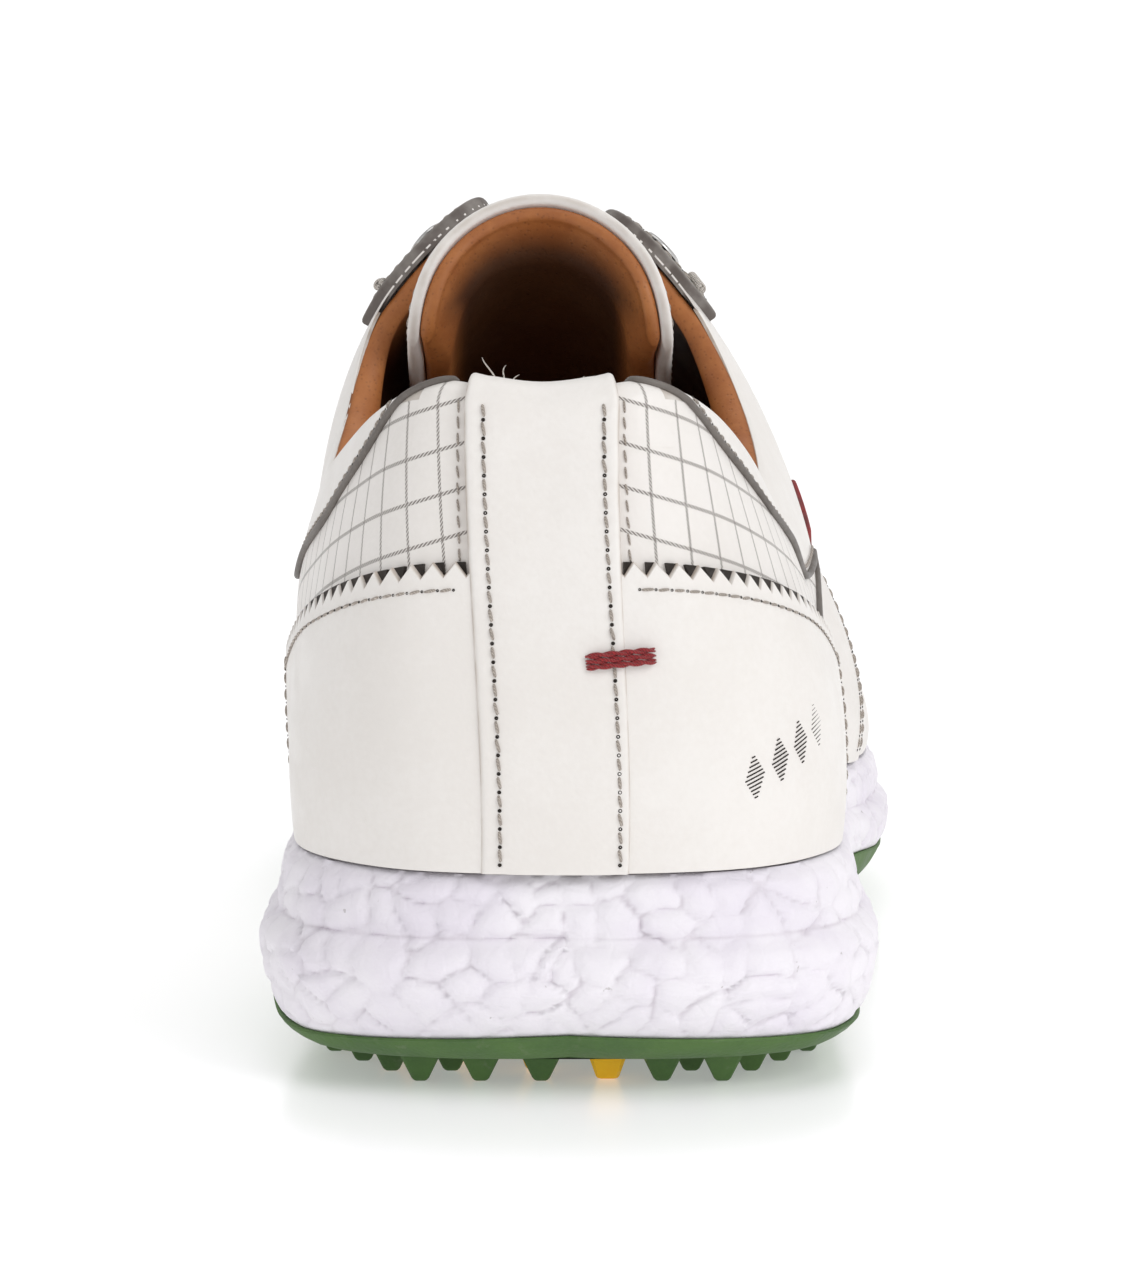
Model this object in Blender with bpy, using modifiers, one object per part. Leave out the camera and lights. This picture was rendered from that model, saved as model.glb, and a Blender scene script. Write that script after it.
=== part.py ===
"""A right-foot spikeless golf shoe, built as the separate pieces it is made of.

Frame: metres, +Z up, +Y to the toe, +X to the outer (lateral) side, origin on the ground under the
middle of the shoe. Dimensions below are in millimetres.

The upper is described by ribs. A rib is a cubic curve that climbs from the feather line, where the
upper meets the midsole, to the top edge: the collar rim, the throat edge or the ridge of the vamp.
There are 30 ribs round the shoe: 0 is the centre of the heel, 1 to 14 the lateral side, 15 the toe
and 16 to 29 the medial side, from the toe back to the heel. A place on the upper is (s, t): s counts
ribs, t climbs from 0 to 1, and an offset along the outward normal gives the layer.
"""

import math

import bmesh
import bpy
import numpy as np
from mathutils import Matrix, Vector

MM = 0.001
CENTRE = (3.26, 0.29)  # the middle of the shoe, measured from the heel's centre line

# Heights of the sole unit, at the heel
LUG_HEIGHT = 4.6
OUTSOLE_SLAB = 2.5
OUTSOLE_WALL = 1.5
OUTSOLE_PROUD = 0.6
HEEL_STACK = 33.2
FOREFOOT_STACK = 25.5
STACK_FALLS_FROM = -80.0
STACK_FALLS_TO = 40.0
TOE_SPRING = 9.0
TOE_SPRING_FROM = 72.0
TOE_TIP = 150.0
BELLY = 3.7  # how far the midsole stands out past the feather line
CLEAR = 0.3  # gap between touching solids

# Layers of the upper: (outer face, thickness) along the outward normal
LEATHER = (0.0, 1.2)
OVERLAY = (1.7, 1.2)
STIFFENER = (-1.9, 1.0)
LINING = (-3.5, 0.8)
LINING_FOOT = 0.02
COLLAR_PAD = 3.4
FEATHER_LIFT = 0.6

# Where the panels end, as ribs of either side
SEAM_RIB = 0.03  # the quarters meet behind the backstay
COUNTER_PANEL_END = 3.3
COLLAR_PANEL_FROM = 1.5
PIPING_FROM = 1.3
PIPING_ENDS = {"lateral": 5.0, "medial": 8.4}
FACING_ENDS = (6.05, 9.55)
FACING_CORNER = 6.3
HEEL_LINING_END = 2.2
TOE_PUFF_FROM = 12.6
STRIPE_WIDE = 0.5
BACKSTAY = (2.2, 1.4)
BACKSTAY_HALF_WIDTHS = (10.7, 10.9)  # at the foot and at the rim
BACKSTAY_LEAN = 2.1  # how far the strip's foot stands to the medial side
COLUMN = 0.5  # spacing of the facets along s
ROW = 0.125  # spacing of the facets along t
SEAM = 0.012  # half the gap of a seam, along t
PAD_ROWS = np.array([0.62, 0.7, 0.78, 0.86, 0.93, 0.985, 1.0])  # heights across the collar's padding

# Ribs of the lateral side, heel to toe: feather line (x, y), bulge, rise, top edge (x, y, z) and the
# handle that shapes the shoulder below the top edge (x, y, z)
LATERAL_RIBS = [
    ((0.0, -146.5), 3.5, 24, (-4.0, -140.0, 103.5), (0.0, -3.0, -24.0)),
    ((24.0, -141.5), 3.5, 24, (12.5, -137.5, 105.3), (4.0, -3.0, -24.0)),
    ((37.6, -124.5), 3.0, 23, (20.7, -122.0, 101.2), (8.0, -1.5, -22.0)),
    ((40.3, -99.0), 2.5, 21, (26.8, -98.0, 92.0), (9.5, 0.0, -18.0)),
    ((40.2, -70.0), 3.0, 18, (29.5, -75.0, 83.5), (9.5, 0.0, -14.0)),
    ((40.0, -43.0), 4.5, 20, (27.5, -51.0, 94.2), (13.5, 4.0, -18.0)),
    ((41.0, -21.0), 5.5, 22, (19.3, -38.0, 111.0), (17.5, 8.0, -20.0)),
    ((44.0, 2.0), 6.0, 22, (5.8, -30.0, 123.5), (19.5, 6.0, -13.0)),
    ((49.0, 22.0), 5.5, 20, (5.5, -5.0, 109.0), (19.0, 6.0, -9.0)),
    ((52.0, 40.0), 4.5, 17, (4.5, 18.0, 94.5), (19.0, 5.0, -7.0)),
    ((52.5, 59.0), 4.0, 15, (-4.5, 42.0, 80.0), (26.0, 0.0, 0.0)),
    ((50.0, 80.0), 4.0, 14, (-6.0, 62.0, 70.0), (26.0, 0.0, 0.0)),
    ((44.0, 102.0), 4.0, 12, (-7.5, 84.0, 60.0), (22.0, 0.0, 0.0)),
    ((33.0, 122.0), 4.0, 11, (-8.5, 103.0, 52.5), (19.0, 3.0, -0.5)),
    ((15.5, 139.0), 4.0, 11, (-9.0, 114.0, 48.5), (13.0, 12.0, -3.0)),
    ((-7.0, 147.0), 4.0, 11, (-9.0, 114.0, 48.5), (0.0, 17.0, -5.0)),
]
# Ribs 1 to 14 of the medial side, heel to toe
MEDIAL_RIBS = [
    ((-24.0, -141.5), 3.5, 24, (-20.5, -137.5, 105.3), (-4.0, -3.0, -24.0)),
    ((-37.6, -124.5), 3.0, 23, (-29.0, -122.0, 100.4), (-5.5, -1.5, -22.0)),
    ((-40.3, -99.0), 2.5, 21, (-35.8, -98.0, 91.0), (-6.0, 0.0, -18.0)),
    ((-39.7, -70.0), 3.0, 18, (-38.0, -75.0, 84.2), (-7.5, 0.0, -15.0)),
    ((-37.5, -43.0), 5.5, 20, (-35.5, -51.0, 93.0), (-9.0, 4.0, -18.0)),
    ((-35.5, -19.0), 7.0, 22, (-30.0, -38.0, 110.5), (-14.0, 8.0, -22.0)),
    ((-36.5, 4.0), 7.0, 22, (-13.8, -30.0, 125.5), (-21.0, 6.0, -15.0)),
    ((-39.5, 26.0), 6.0, 20, (-13.5, -5.0, 110.0), (-18.0, 6.0, -10.0)),
    ((-43.0, 46.0), 5.0, 17, (-12.5, 18.0, 95.0), (-17.0, 5.0, -8.0)),
    ((-45.5, 65.0), 4.0, 15, (-4.5, 42.0, 80.0), (-24.0, 0.0, 0.0)),
    ((-45.5, 86.0), 4.0, 14, (-6.0, 62.0, 70.0), (-23.0, 0.0, 0.0)),
    ((-42.5, 107.0), 4.0, 12, (-7.5, 84.0, 60.0), (-20.0, 0.0, 0.0)),
    ((-36.0, 126.0), 4.0, 11, (-8.5, 103.0, 52.5), (-17.0, 3.0, -0.5)),
    ((-24.5, 140.0), 4.0, 11, (-9.0, 114.0, 48.5), (-9.0, 13.0, -3.0)),
]
RIBS = 30
TOE_RIB = 15
RIDGE_FROM = 10  # ribs 10 to 20 end on the ridge of the vamp

# The tongue's centre line (x, y, z), its half width and the drop to its edges, base to top
TONGUE_LINE = [
    ((-6.0, 52.0, 65.0), 15.0, 7.0),
    ((-5.5, 32.0, 78.5), 20.0, 14.0),
    ((-5.0, 8.0, 95.0), 21.5, 19.0),
    ((-4.7, -16.0, 110.0), 21.5, 22.0),
    ((-4.7, -32.0, 121.0), 21.5, 24.5),
    ((-4.7, -41.0, 128.0), 21.5, 26.0),
]
TONGUE_TURN = math.radians(86)
TONGUE_HINGE = (-6.0, 50.0, 61.0)

BOARD_INSET = 5.2
BOARD_THICK = 1.2
SOCKLINER_INSET = 7.8
SOCKLINER_THICK = 4.5
SOCKLINER_HINGE_Y = 139.0

EYELET_RIBS = (6.75, 7.45, 8.15, 8.85, 9.45)
EYELET_RING = (2.9, 0.75)
EYELET_FROM_EDGE = 8.0

LUG_PITCH = 9.0
LUG_ROW = 8.1
LUG_FIRST_X = -4.2
LUG_FIRST_Y = -2.0
LUG_BASE = 4.9
LUG_TIP = 1.4
LUG_MARGIN = -6.0
WAIST = (-52.0, 2.0)  # no lugs between these

# The yellow bars let into the tread: their two ends, half their width, their plate and their lugs
INSERT_HALF_WIDTH = 4.6
INSERT_PLATE = 1.5
INSERT_LUGS = 4
INSERT_LUG = (4.6, 2.2)
INSERTS = {
    "heel_insert": ((-26.0, -106.0), (5.7, -129.6)),
    "forefoot_insert_lateral": ((14.0, 47.0), (37.0, 55.0)),
    "forefoot_insert_medial": ((-33.0, 65.0), (-8.0, 58.0)),
}
SHANK = (20.0, 88.0, 1.6)
SHANK_Y = -28.0


# ---------------------------------------------------------------- scene helpers


def clear_scene():
    for obj in list(bpy.data.objects):
        bpy.data.objects.remove(obj, do_unlink=True)


def collection(name):
    made = bpy.data.collections.new(name)
    bpy.context.scene.collection.children.link(made)
    return made


def material(name, colour, roughness, metallic=0.0):
    made = bpy.data.materials.new(name)
    made.use_nodes = True
    shader = made.node_tree.nodes["Principled BSDF"]
    shader.inputs["Base Color"].default_value = (*colour, 1.0)
    shader.inputs["Roughness"].default_value = roughness
    shader.inputs["Metallic"].default_value = metallic
    return made


def world(point):
    """A point in millimetres about the heel's centre line, as metres in the shoe's frame."""
    x, y, z = point
    return Vector(((x - CENTRE[0]) * MM, (y - CENTRE[1]) * MM, z * MM))


def mesh_object(name, points, faces, look, origin=(0.0, 0.0, 0.0)):
    """A mesh from millimetre points, in the shoe's frame, with its object's origin at origin."""
    home = world(origin) if any(origin) else Vector((0.0, 0.0, 0.0))
    mesh = bpy.data.meshes.new(name)
    mesh.from_pydata([world(p) - home for p in points], [], faces)
    mesh.materials.append(look)
    obj = bpy.data.objects.new(name, mesh)
    obj.location = home
    SHOE.objects.link(obj)
    return obj


def edit(obj, action):
    body = bmesh.new()
    body.from_mesh(obj.data)
    action(body)
    body.to_mesh(obj.data)
    body.free()


def face_out(obj):
    edit(obj, lambda body: bmesh.ops.recalc_face_normals(body, faces=body.faces))


def smooth(obj, angle=40):
    obj.data.shade_smooth()
    obj.data.set_sharp_from_angle(angle=math.radians(angle))


def boolean(obj, other, operation):
    other.hide_render = True
    other.display_type = "WIRE"
    for home in list(other.users_collection):
        home.objects.unlink(other)
    CUTTERS.objects.link(other)
    cut = obj.modifiers.new(operation.lower(), "BOOLEAN")
    cut.operation = operation
    cut.object = other


def steps(low, high, pitch):
    """low, the multiples of pitch between, and high."""
    inner = np.arange(math.ceil(low / pitch + 0.3), math.floor(high / pitch - 0.3) + 1) * pitch
    return np.concatenate([[low], inner, [high]])


# ---------------------------------------------------------------- the shape of the sole


def top_of_midsole(y):
    fall = np.clip((y - STACK_FALLS_FROM) / (STACK_FALLS_TO - STACK_FALLS_FROM), 0, 1)
    return HEEL_STACK + (FOREFOOT_STACK - HEEL_STACK) * fall + 0.55 * spring(y)


def spring(y):
    """How far the tread rises towards the toe."""
    rise = np.clip((y - TOE_SPRING_FROM) / (TOE_TIP - TOE_SPRING_FROM), 0, 1)
    return TOE_SPRING * rise**2


def loop(values, s):
    """A smooth closed curve through the values of the 30 ribs (Catmull-Rom)."""
    s = np.asarray(s, float) % RIBS
    k = np.floor(s).astype(int)
    f = (s - k)[..., None]
    p0, p1, p2, p3 = (values[(k + step) % RIBS] for step in (-1, 0, 1, 2))
    return 0.5 * (
        2 * p1
        + (p2 - p0) * f
        + (2 * p0 - 5 * p1 + 4 * p2 - p3) * f**2
        + (3 * p1 - p0 - 3 * p2 + p3) * f**3
    )


def outward(s):
    """The level direction that points out of the feather line."""
    ahead = loop(FEATHER, np.asarray(s, float) + 0.05) - loop(FEATHER, np.asarray(s, float) - 0.05)
    normal = np.stack([ahead[..., 1], -ahead[..., 0]], axis=-1)
    return normal / np.linalg.norm(normal, axis=-1, keepdims=True)


def outline(s, out):
    """The plan point out millimetres outside the feather line."""
    return loop(FEATHER, s) + out * outward(s)


# ---------------------------------------------------------------- the shape of the upper


def rib_tables():
    ribs = LATERAL_RIBS + MEDIAL_RIBS[::-1]
    feather = np.array([rib[0] for rib in ribs], float)
    lean = np.array([(rib[1], rib[2]) for rib in ribs], float)
    top = np.array([rib[3] for rib in ribs], float)
    shoulder = np.array([rib[4] for rib in ribs], float)
    return feather, lean, top, shoulder


def top_edge(s):
    """The top edge. On the ridge both sides give the same point."""
    s = np.asarray(s, float) % RIBS
    on_ridge = (s >= RIDGE_FROM) & (s <= RIBS - RIDGE_FROM)
    shared = 0.5 * (loop(TOP, s) + loop(TOP, RIBS - s))
    return np.where(on_ridge[..., None], shared, loop(TOP, s))


def skin(s, t):
    """The outer face of the leather at (s, t)."""
    s, t = np.broadcast_arrays(np.asarray(s, float), np.asarray(t, float))
    plan = loop(FEATHER, s)
    foot = np.concatenate([plan, (top_of_midsole(plan[..., 1]) + FEATHER_LIFT)[..., None]], axis=-1)
    bulge, rise = np.moveaxis(loop(LEAN, s), -1, 0)
    low = foot + np.concatenate([outward(s) * bulge[..., None], rise[..., None]], axis=-1)
    end = top_edge(s)
    high = end + loop(SHOULDER, s)
    t = t[..., None]
    return (1 - t) ** 3 * foot + 3 * (1 - t) ** 2 * t * low + 3 * (1 - t) * t**2 * high + t**3 * end


def skin_normal(s, t):
    s, t = np.broadcast_arrays(np.asarray(s, float) % RIBS, np.asarray(t, float))
    along = skin(s + 0.02, t) - skin(s - 0.02, t)
    lower, upper = np.clip(t - 0.01, 0, 0.97), np.clip(t + 0.01, 0.03, 1)
    normal = np.cross(along, skin(s, upper) - skin(s, lower))
    ridge = np.clip(np.where(s > TOE_RIB, RIBS - s, s), RIDGE_FROM, TOE_RIB - 1.5)
    ridge_run = top_edge(ridge + 0.05) - top_edge(ridge - 0.05)
    level = np.cross([1.0, 0.0, 0.0], ridge_run)
    on_ridge = (s >= RIDGE_FROM) & (s <= RIBS - RIDGE_FROM) & (t > 0.999)
    normal = np.where(on_ridge[..., None], level, normal)
    return normal / np.linalg.norm(normal, axis=-1, keepdims=True)


def layer(s, t, offset):
    return skin(s, t) + skin_normal(s, t) * np.asarray(offset, float)[..., None]


def rib_at_distance(distance, t, side):
    """How many ribs out from the heel's centre line a place lies that is this far from it."""
    reach = np.linspace(0, 1.5, 61)
    path = skin(side * reach, t)
    run = np.concatenate([[0], np.cumsum(np.linalg.norm(np.diff(path, axis=0), axis=1))])
    return float(np.interp(distance, run, reach))


def piping_line(u):
    """Where the collar panel meets the quarter, as t at rib u of either side."""
    return np.interp(
        u,
        [1.0, 1.25, 1.5, 2.0, 2.5, 3.0, 3.5, 4.0, 4.5, 5.0, 5.5, 6.5, 7.5, 8.6],
        [1.012, 0.978, 0.947, 0.857, 0.775, 0.75, 0.728, 0.69, 0.64, 0.59, 0.555, 0.51, 0.47, 0.43],
    )


def pinked_line(u):
    """Top edge of the counter panels."""
    ribs = [0.0, 0.6, 1.0, 1.5, 2.0, 2.5, 3.0, 3.3]
    return np.interp(u, ribs, [0.652, 0.638, 0.618, 0.595, 0.568, 0.535, 0.495, 0.462])


def vamp_seam(t):
    """The rib where the quarters end and the vamp starts, at height t."""
    return 7.9 + 1.75 * np.asarray(t, float) ** 1.3


def pad(u, t):
    """How full the collar's padding is, from 0 to 1."""
    along = np.interp(u, [0.0, 4.2, 5.8], [1.0, 1.0, 0.0])
    climb = np.clip((np.asarray(t, float) - 0.7) / 0.16, 0, 1)
    return along * climb * climb * (3 - 2 * climb)


# ---------------------------------------------------------------- building panels


def grid_faces(columns, rows):
    faces = []
    for i in range(columns - 1):
        for j in range(rows - 1):
            a = i * rows + j
            faces.append((a, a + rows, a + rows + 1, a + 1))
    return faces


def sheet(name, s, t, look, face, thickness):
    """A panel of the upper: an open surface over the grid (s, t), thickened inwards from its outer face."""
    points = layer(s, t, face)
    obj = mesh_object(name, points.reshape(-1, 3), grid_faces(*s.shape), look)
    edit(obj, lambda body: bmesh.ops.remove_doubles(body, verts=body.verts, dist=2e-5))
    if (s[-1] - s[0]).mean() < 0:
        obj.data.flip_normals()
    solid = obj.modifiers.new("thickness", "SOLIDIFY")
    solid.thickness = thickness * MM
    solid.offset = -1.0
    smooth(obj)
    return obj


def value(rule, at):
    """A bound of a panel, which is a number or a function of the other coordinate."""
    return rule(at) if callable(rule) else rule


def side_sheet(name, side, first, last, low, high, look, face, thickness, rows=None):
    """A panel on one side: ribs first to last, each a number or a function of t, between the heights
    low and high, each a number or a function of the rib."""
    middle = value(first, 0.5), value(last, 0.5)
    share = (steps(*middle, COLUMN) - middle[0]) / (middle[1] - middle[0])
    height = (value(high, sum(middle) / 2) - value(low, sum(middle) / 2)) or 1.0
    if rows is None:
        climb = np.linspace(0, 1, max(2, round(height / ROW) + 1))
    else:
        climb = (rows - low) / (high - low)
    a, b = np.meshgrid(share, climb, indexing="ij")
    # Each bound can depend on the other coordinate, so both settle over a few passes. Only the columns
    # next to a slanted end follow it, and the others stay on the ribs that all panels share.
    level = middle[0] + a * (middle[1] - middle[0])
    t = value(low, middle[0]) + b * height
    for _ in range(3):
        u = level + (value(first, t) - middle[0]) * (1 - a) ** 6 + (value(last, t) - middle[1]) * a**6
        t = value(low, u) + b * (value(high, u) - value(low, u))
    s = u if side > 0 else RIBS - u
    depth = face(u, t) if callable(face) else np.full(s.shape, face)
    return sheet(name, s, t, look, depth, thickness)


def round_sheet(name, first, last, climb, look, face, thickness):
    """A panel across the centre line, over the given heights."""
    s, t = np.meshgrid(steps(first, last, COLUMN), climb, indexing="ij")
    u = np.minimum(s % RIBS, -s % RIBS)
    depth = face(u, t) if callable(face) else np.full(s.shape, face)
    return sheet(name, s, t, look, depth, thickness)


def lofted(name, rings, look, origin=(0.0, 0.0, 0.0)):
    """A closed solid from rings of equal length, stacked and capped across from side to side."""
    count = len(rings[0])
    points = np.concatenate(rings)
    faces = []
    for level in range(len(rings) - 1):
        for i in range(count):
            a, b = level * count + i, level * count + (i + 1) % count
            faces.append((a, b, b + count, a + count))
    half = count // 2
    for base in (0, (len(rings) - 1) * count):
        faces.append((base, base + 1, base + count - 1))
        faces.append((base + half - 1, base + half, base + half + 1))
        for i in range(1, half - 1):
            faces.append((base + i, base + i + 1, base + count - i - 1, base + count - i))
    obj = mesh_object(name, points, faces, look, origin)
    face_out(obj)
    smooth(obj, 35)
    return obj


def ring(out, height, square=0.0, bevel=0.0):
    """A ring out millimetres outside the feather line, at the height that height(y) gives. The sole's
    heel is squarer than the upper's, which square, from 0 to 1, puts in. Its back is cut in under by
    bevel millimetres."""
    s = np.arange(0, RIBS, COLUMN)
    u = np.minimum(s, RIBS - s)
    corner = np.interp(u, [0.0, 0.8, 1.6, 2.2, 3.0, 4.2, 5.2], [0.0, 2.0, 4.2, 3.6, 2.4, 1.2, 0.0])
    back = np.interp(u, [0.0, 1.0, 1.8], [1.0, 0.75, 0.0])
    plan = outline(s, (out + square * corner - bevel * back)[..., None])
    return np.column_stack([plan, height(plan[:, 1])])


# ---------------------------------------------------------------- sole unit


def wrap_height(s):
    """How high the outsole's side wall climbs, as a share of the stack: most at the medial waist."""
    u = np.where(s > TOE_RIB, RIBS - s, s)
    medial_ribs = [0, 1, 1.9, 2.4, 3.0, 3.6, 5.0, 8.5, 11.0, 15]
    medial = np.interp(u, medial_ribs, [0.15, 0.12, 0.1, 0.14, 0.3, 0.45, 0.5, 0.5, 0.24, 0.26])
    lateral_ribs = [0, 1, 1.9, 3.6, 5.0, 7.5, 9.0, 15]
    lateral = np.interp(u, lateral_ribs, [0.15, 0.12, 0.1, 0.14, 0.36, 0.34, 0.24, 0.26])
    return np.where(s > TOE_RIB, medial, lateral)


def sole_side(share):
    """How far the side of the sole stands outside the feather line at this share of the stack."""
    shares = [0.0, 0.05, 0.12, 0.2, 0.27, 0.38, 0.5, 0.57, 0.67, 0.8, 0.93, 1.0]
    reach = [-2.2, -0.6, 0.7, 1.7, 2.4, 3.2, BELLY, BELLY, 1.7, 1.7, 1.1, -0.2]
    return np.interp(share, shares, reach)


def heel_bevel(share):
    """How far the back of the heel is cut in under at this share of the stack."""
    return np.interp(share, [0.0, 0.16, 0.4], [4.5, 3.4, 0.0])


def sole_height(share):
    return lambda y: LUG_HEIGHT + spring(y) + share * (top_of_midsole(y) - LUG_HEIGHT - spring(y))


def slab_top(y):
    return LUG_HEIGHT + spring(y) + OUTSOLE_SLAB


def make_outsole(look):
    s = np.arange(0, RIBS, COLUMN)
    wall = wrap_height(s)
    foot = sole_side(0.07)
    rings = [
        ring(foot - OUTSOLE_WALL, slab_top, 1.0, heel_bevel(0.07)),
        ring(sole_side(wall) + OUTSOLE_PROUD - OUTSOLE_WALL, sole_height(wall), 1.0, heel_bevel(wall)),
        ring(sole_side(wall) + OUTSOLE_PROUD, sole_height(wall), 1.0, heel_bevel(wall)),
        ring(sole_side(0.07) + OUTSOLE_PROUD, sole_height(0.07), 1.0, heel_bevel(0.07)),
        ring(sole_side(0.0), sole_height(0.0), 1.0, heel_bevel(0.0)),
    ]
    outsole = lofted("outsole", rings, look)
    lugs = lug_field("outsole_lugs", lug_places(), look)
    boolean(outsole, lugs, "UNION")
    for name, ends in INSERTS.items():
        pocket = bar(name + "_pocket", ends, INSERT_HALF_WIDTH + CLEAR, -1.0, INSERT_PLATE + CLEAR, look)
        boolean(outsole, pocket, "DIFFERENCE")
    return outsole


def lug_places():
    """Staggered rows of lugs, kept inside the tread's edge, out of the waist and off the inserts."""
    edge = ring(LUG_MARGIN, lambda y: y, 0.0, heel_bevel(0.0))[:, :2]
    apart = INSERT_HALF_WIDTH + 0.57 * LUG_BASE
    places = []
    for row in range(-18, 19):
        y = row * LUG_ROW + LUG_FIRST_Y
        if WAIST[0] < y < WAIST[1]:
            continue
        for column in range(-6, 7):
            x = (column + 0.5 * (row % 2)) * LUG_PITCH + LUG_FIRST_X
            far = all(from_segment(x, y, *ends) > apart for ends in INSERTS.values())
            if far and inside(edge, x, y):
                places.append((x, y, LUG_BASE, LUG_TIP))
    return places


def from_segment(x, y, start, end):
    """How far a plan point is from the straight line between two others."""
    run = Vector(end) - Vector(start)
    share = min(1.0, max(0.0, (Vector((x, y)) - Vector(start)).dot(run) / run.length_squared))
    return (Vector((x, y)) - Vector(start) - share * run).length


def inside(edge, x, y):
    ahead = np.roll(edge, -1, axis=0)
    crosses = (edge[:, 1] > y) != (ahead[:, 1] > y)
    with np.errstate(divide="ignore", invalid="ignore"):
        at = edge[:, 0] + (y - edge[:, 1]) / (ahead[:, 1] - edge[:, 1]) * (ahead[:, 0] - edge[:, 0])
    return bool(np.sum(crosses & (x < at)) % 2)


def lug_field(name, places, look, sink=0.7):
    """Square pyramids with cut-off tips, one for each place, pointing down from the tread."""
    body = bmesh.new()
    for x, y, base, tip in places:
        low = float(spring(y))
        high = low + LUG_HEIGHT + sink
        middle = world((x, y, (low + high) / 2))
        bmesh.ops.create_cone(
            body,
            cap_ends=True,
            segments=4,
            radius1=tip * MM,
            radius2=base * MM,
            depth=(high - low) * MM,
            matrix=Matrix.Translation(middle) @ Matrix.Rotation(math.radians(45), 4, "Z"),
        )
    return body_object(name, body, look)


def body_object(name, body, look):
    """An object from a bmesh, which this frees."""
    mesh = bpy.data.meshes.new(name)
    body.to_mesh(mesh)
    body.free()
    mesh.materials.append(look)
    obj = bpy.data.objects.new(name, mesh)
    SHOE.objects.link(obj)
    return obj


def bar(name, ends, half, low, high, look):
    """A plate with round ends between the heights low and high, measured up from the tread."""
    start, end = (Vector(point) for point in ends)
    heading = math.atan2(*(end - start).yx)
    turns = [math.radians(k * 22.5 - 90) for k in range(9)]
    outline_points = []
    for centre, first in ((end, heading), (start, heading + math.pi)):
        for turn in turns:
            outline_points.append(centre + half * Vector((math.cos(first + turn), math.sin(first + turn))))
    body = bmesh.new()
    levels = [[body.verts.new(world((*p, LUG_HEIGHT + z))) for p in outline_points] for z in (low, high)]
    body.faces.new(levels[0][::-1])
    body.faces.new(levels[1])
    for i in range(len(outline_points)):
        j = (i + 1) % len(outline_points)
        body.faces.new((levels[0][i], levels[0][j], levels[1][j], levels[1][i]))
    return body_object(name, body, look)


def insert_lugs(ends):
    start, end = (Vector(point) for point in ends)
    return [start.lerp(end, k / (INSERT_LUGS - 1)) for k in range(INSERT_LUGS)]


def make_insert(name, ends, look):
    """A moulded yellow bar with broad lugs along it."""
    plate = bar(name, ends, INSERT_HALF_WIDTH, 0.0, INSERT_PLATE, look)
    places = [(*point, *INSERT_LUG) for point in insert_lugs(ends)]
    boolean(plate, lug_field(name + "_lugs", places, look), "UNION")
    return plate


def make_midsole(look):
    wall = wrap_height(np.arange(0, RIBS, COLUMN))
    inner = OUTSOLE_WALL + CLEAR
    step = 0.02
    above = wall + step
    waist = np.maximum(0.38, above + step)
    rings = [
        ring(sole_side(0.07) - inner, lambda y: slab_top(y) + CLEAR, 1.0, heel_bevel(0.07)),
        ring(sole_side(wall) + OUTSOLE_PROUD - inner, sole_height(above), 1.0, heel_bevel(wall)),
        ring(sole_side(above), sole_height(above), 1.0, heel_bevel(above)),
        ring(sole_side(waist), sole_height(waist), 1.0, heel_bevel(waist)),
        ring(BELLY, sole_height(0.57), 0.9),
        ring(sole_side(0.67), sole_height(0.67), 0.85),
        ring(sole_side(0.8), sole_height(0.8), 0.7),
        ring(sole_side(0.93), sole_height(0.93), 0.5),
        ring(sole_side(1.0), sole_height(1.0), 0.4),
    ]
    midsole = lofted("midsole", rings, look)
    boolean(midsole, shank_block("shank_recess", CLEAR, 4.0, look), "DIFFERENCE")
    return midsole


def shank_block(name, extra, above, look):
    """The shank's plate, let into the sloping top of the midsole."""
    wide, long, thick = SHANK
    tilt = math.atan2(FOREFOOT_STACK - HEEL_STACK, STACK_FALLS_TO - STACK_FALLS_FROM)
    top = float(top_of_midsole(SHANK_Y)) - CLEAR
    high = thick + extra + above
    bpy.ops.mesh.primitive_cube_add(size=1.0)
    obj = bpy.context.object
    obj.name = name
    size = ((wide + 2 * extra) * MM, (long + 2 * extra) * MM, high * MM)
    obj.data.transform(Matrix.Diagonal((*size, 1.0)))
    obj.data.materials.append(look)
    obj.rotation_euler = (tilt, 0.0, 0.0)
    obj.location = world((0.0, SHANK_Y, top - thick - extra + high / 2))
    for home in list(obj.users_collection):
        home.objects.unlink(obj)
    SHOE.objects.link(obj)
    return obj


def flat_board(name, inset, low, high, look, origin=(0.0, 0.0, 0.0)):
    """A board that follows the top of the midsole, inset from the feather line."""
    rings = [ring(-inset, lambda y, up=up: top_of_midsole(y) + up) for up in (low, high)]
    return lofted(name, rings, look, origin)


# ---------------------------------------------------------------- upper


def make_outer_panels(white, smooth_white, grey, red):
    for side, word in ((1, "lateral"), (-1, "medial")):
        below, above = quarter_top, piping_edge(SEAM)
        behind = backstay_edge(side)
        side_sheet("quarter_" + word, side, SEAM_RIB, vamp_seam, 0.0, below, white, *LEATHER)
        side_sheet(
            "collar_panel_" + word, side, COLLAR_PANEL_FROM, vamp_seam, above, 1.0, smooth_white, *LEATHER
        )
        side_sheet(
            "counter_panel_" + word, side, behind, COUNTER_PANEL_END, 0.0, pinked_line, smooth_white, *OVERLAY
        )
        side_sheet("facing_" + word, side, *FACING_ENDS, facing_line, 1.0, grey, *OVERLAY)
    make_vamp("vamp", 0.06, 0.0, white, *LEATHER)
    make_backstay(smooth_white)
    across, t = np.meshgrid([0.0, 0.5 * STRIPE_WIDE, STRIPE_WIDE], np.linspace(0.1, 0.63, 7), indexing="ij")
    sheet("side_stripe", stripe_edge(across)(t), t, red, np.full(t.shape, OVERLAY[0]), OVERLAY[1])


def piping_edge(gap):
    return lambda u: piping_line(u) + gap


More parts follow.
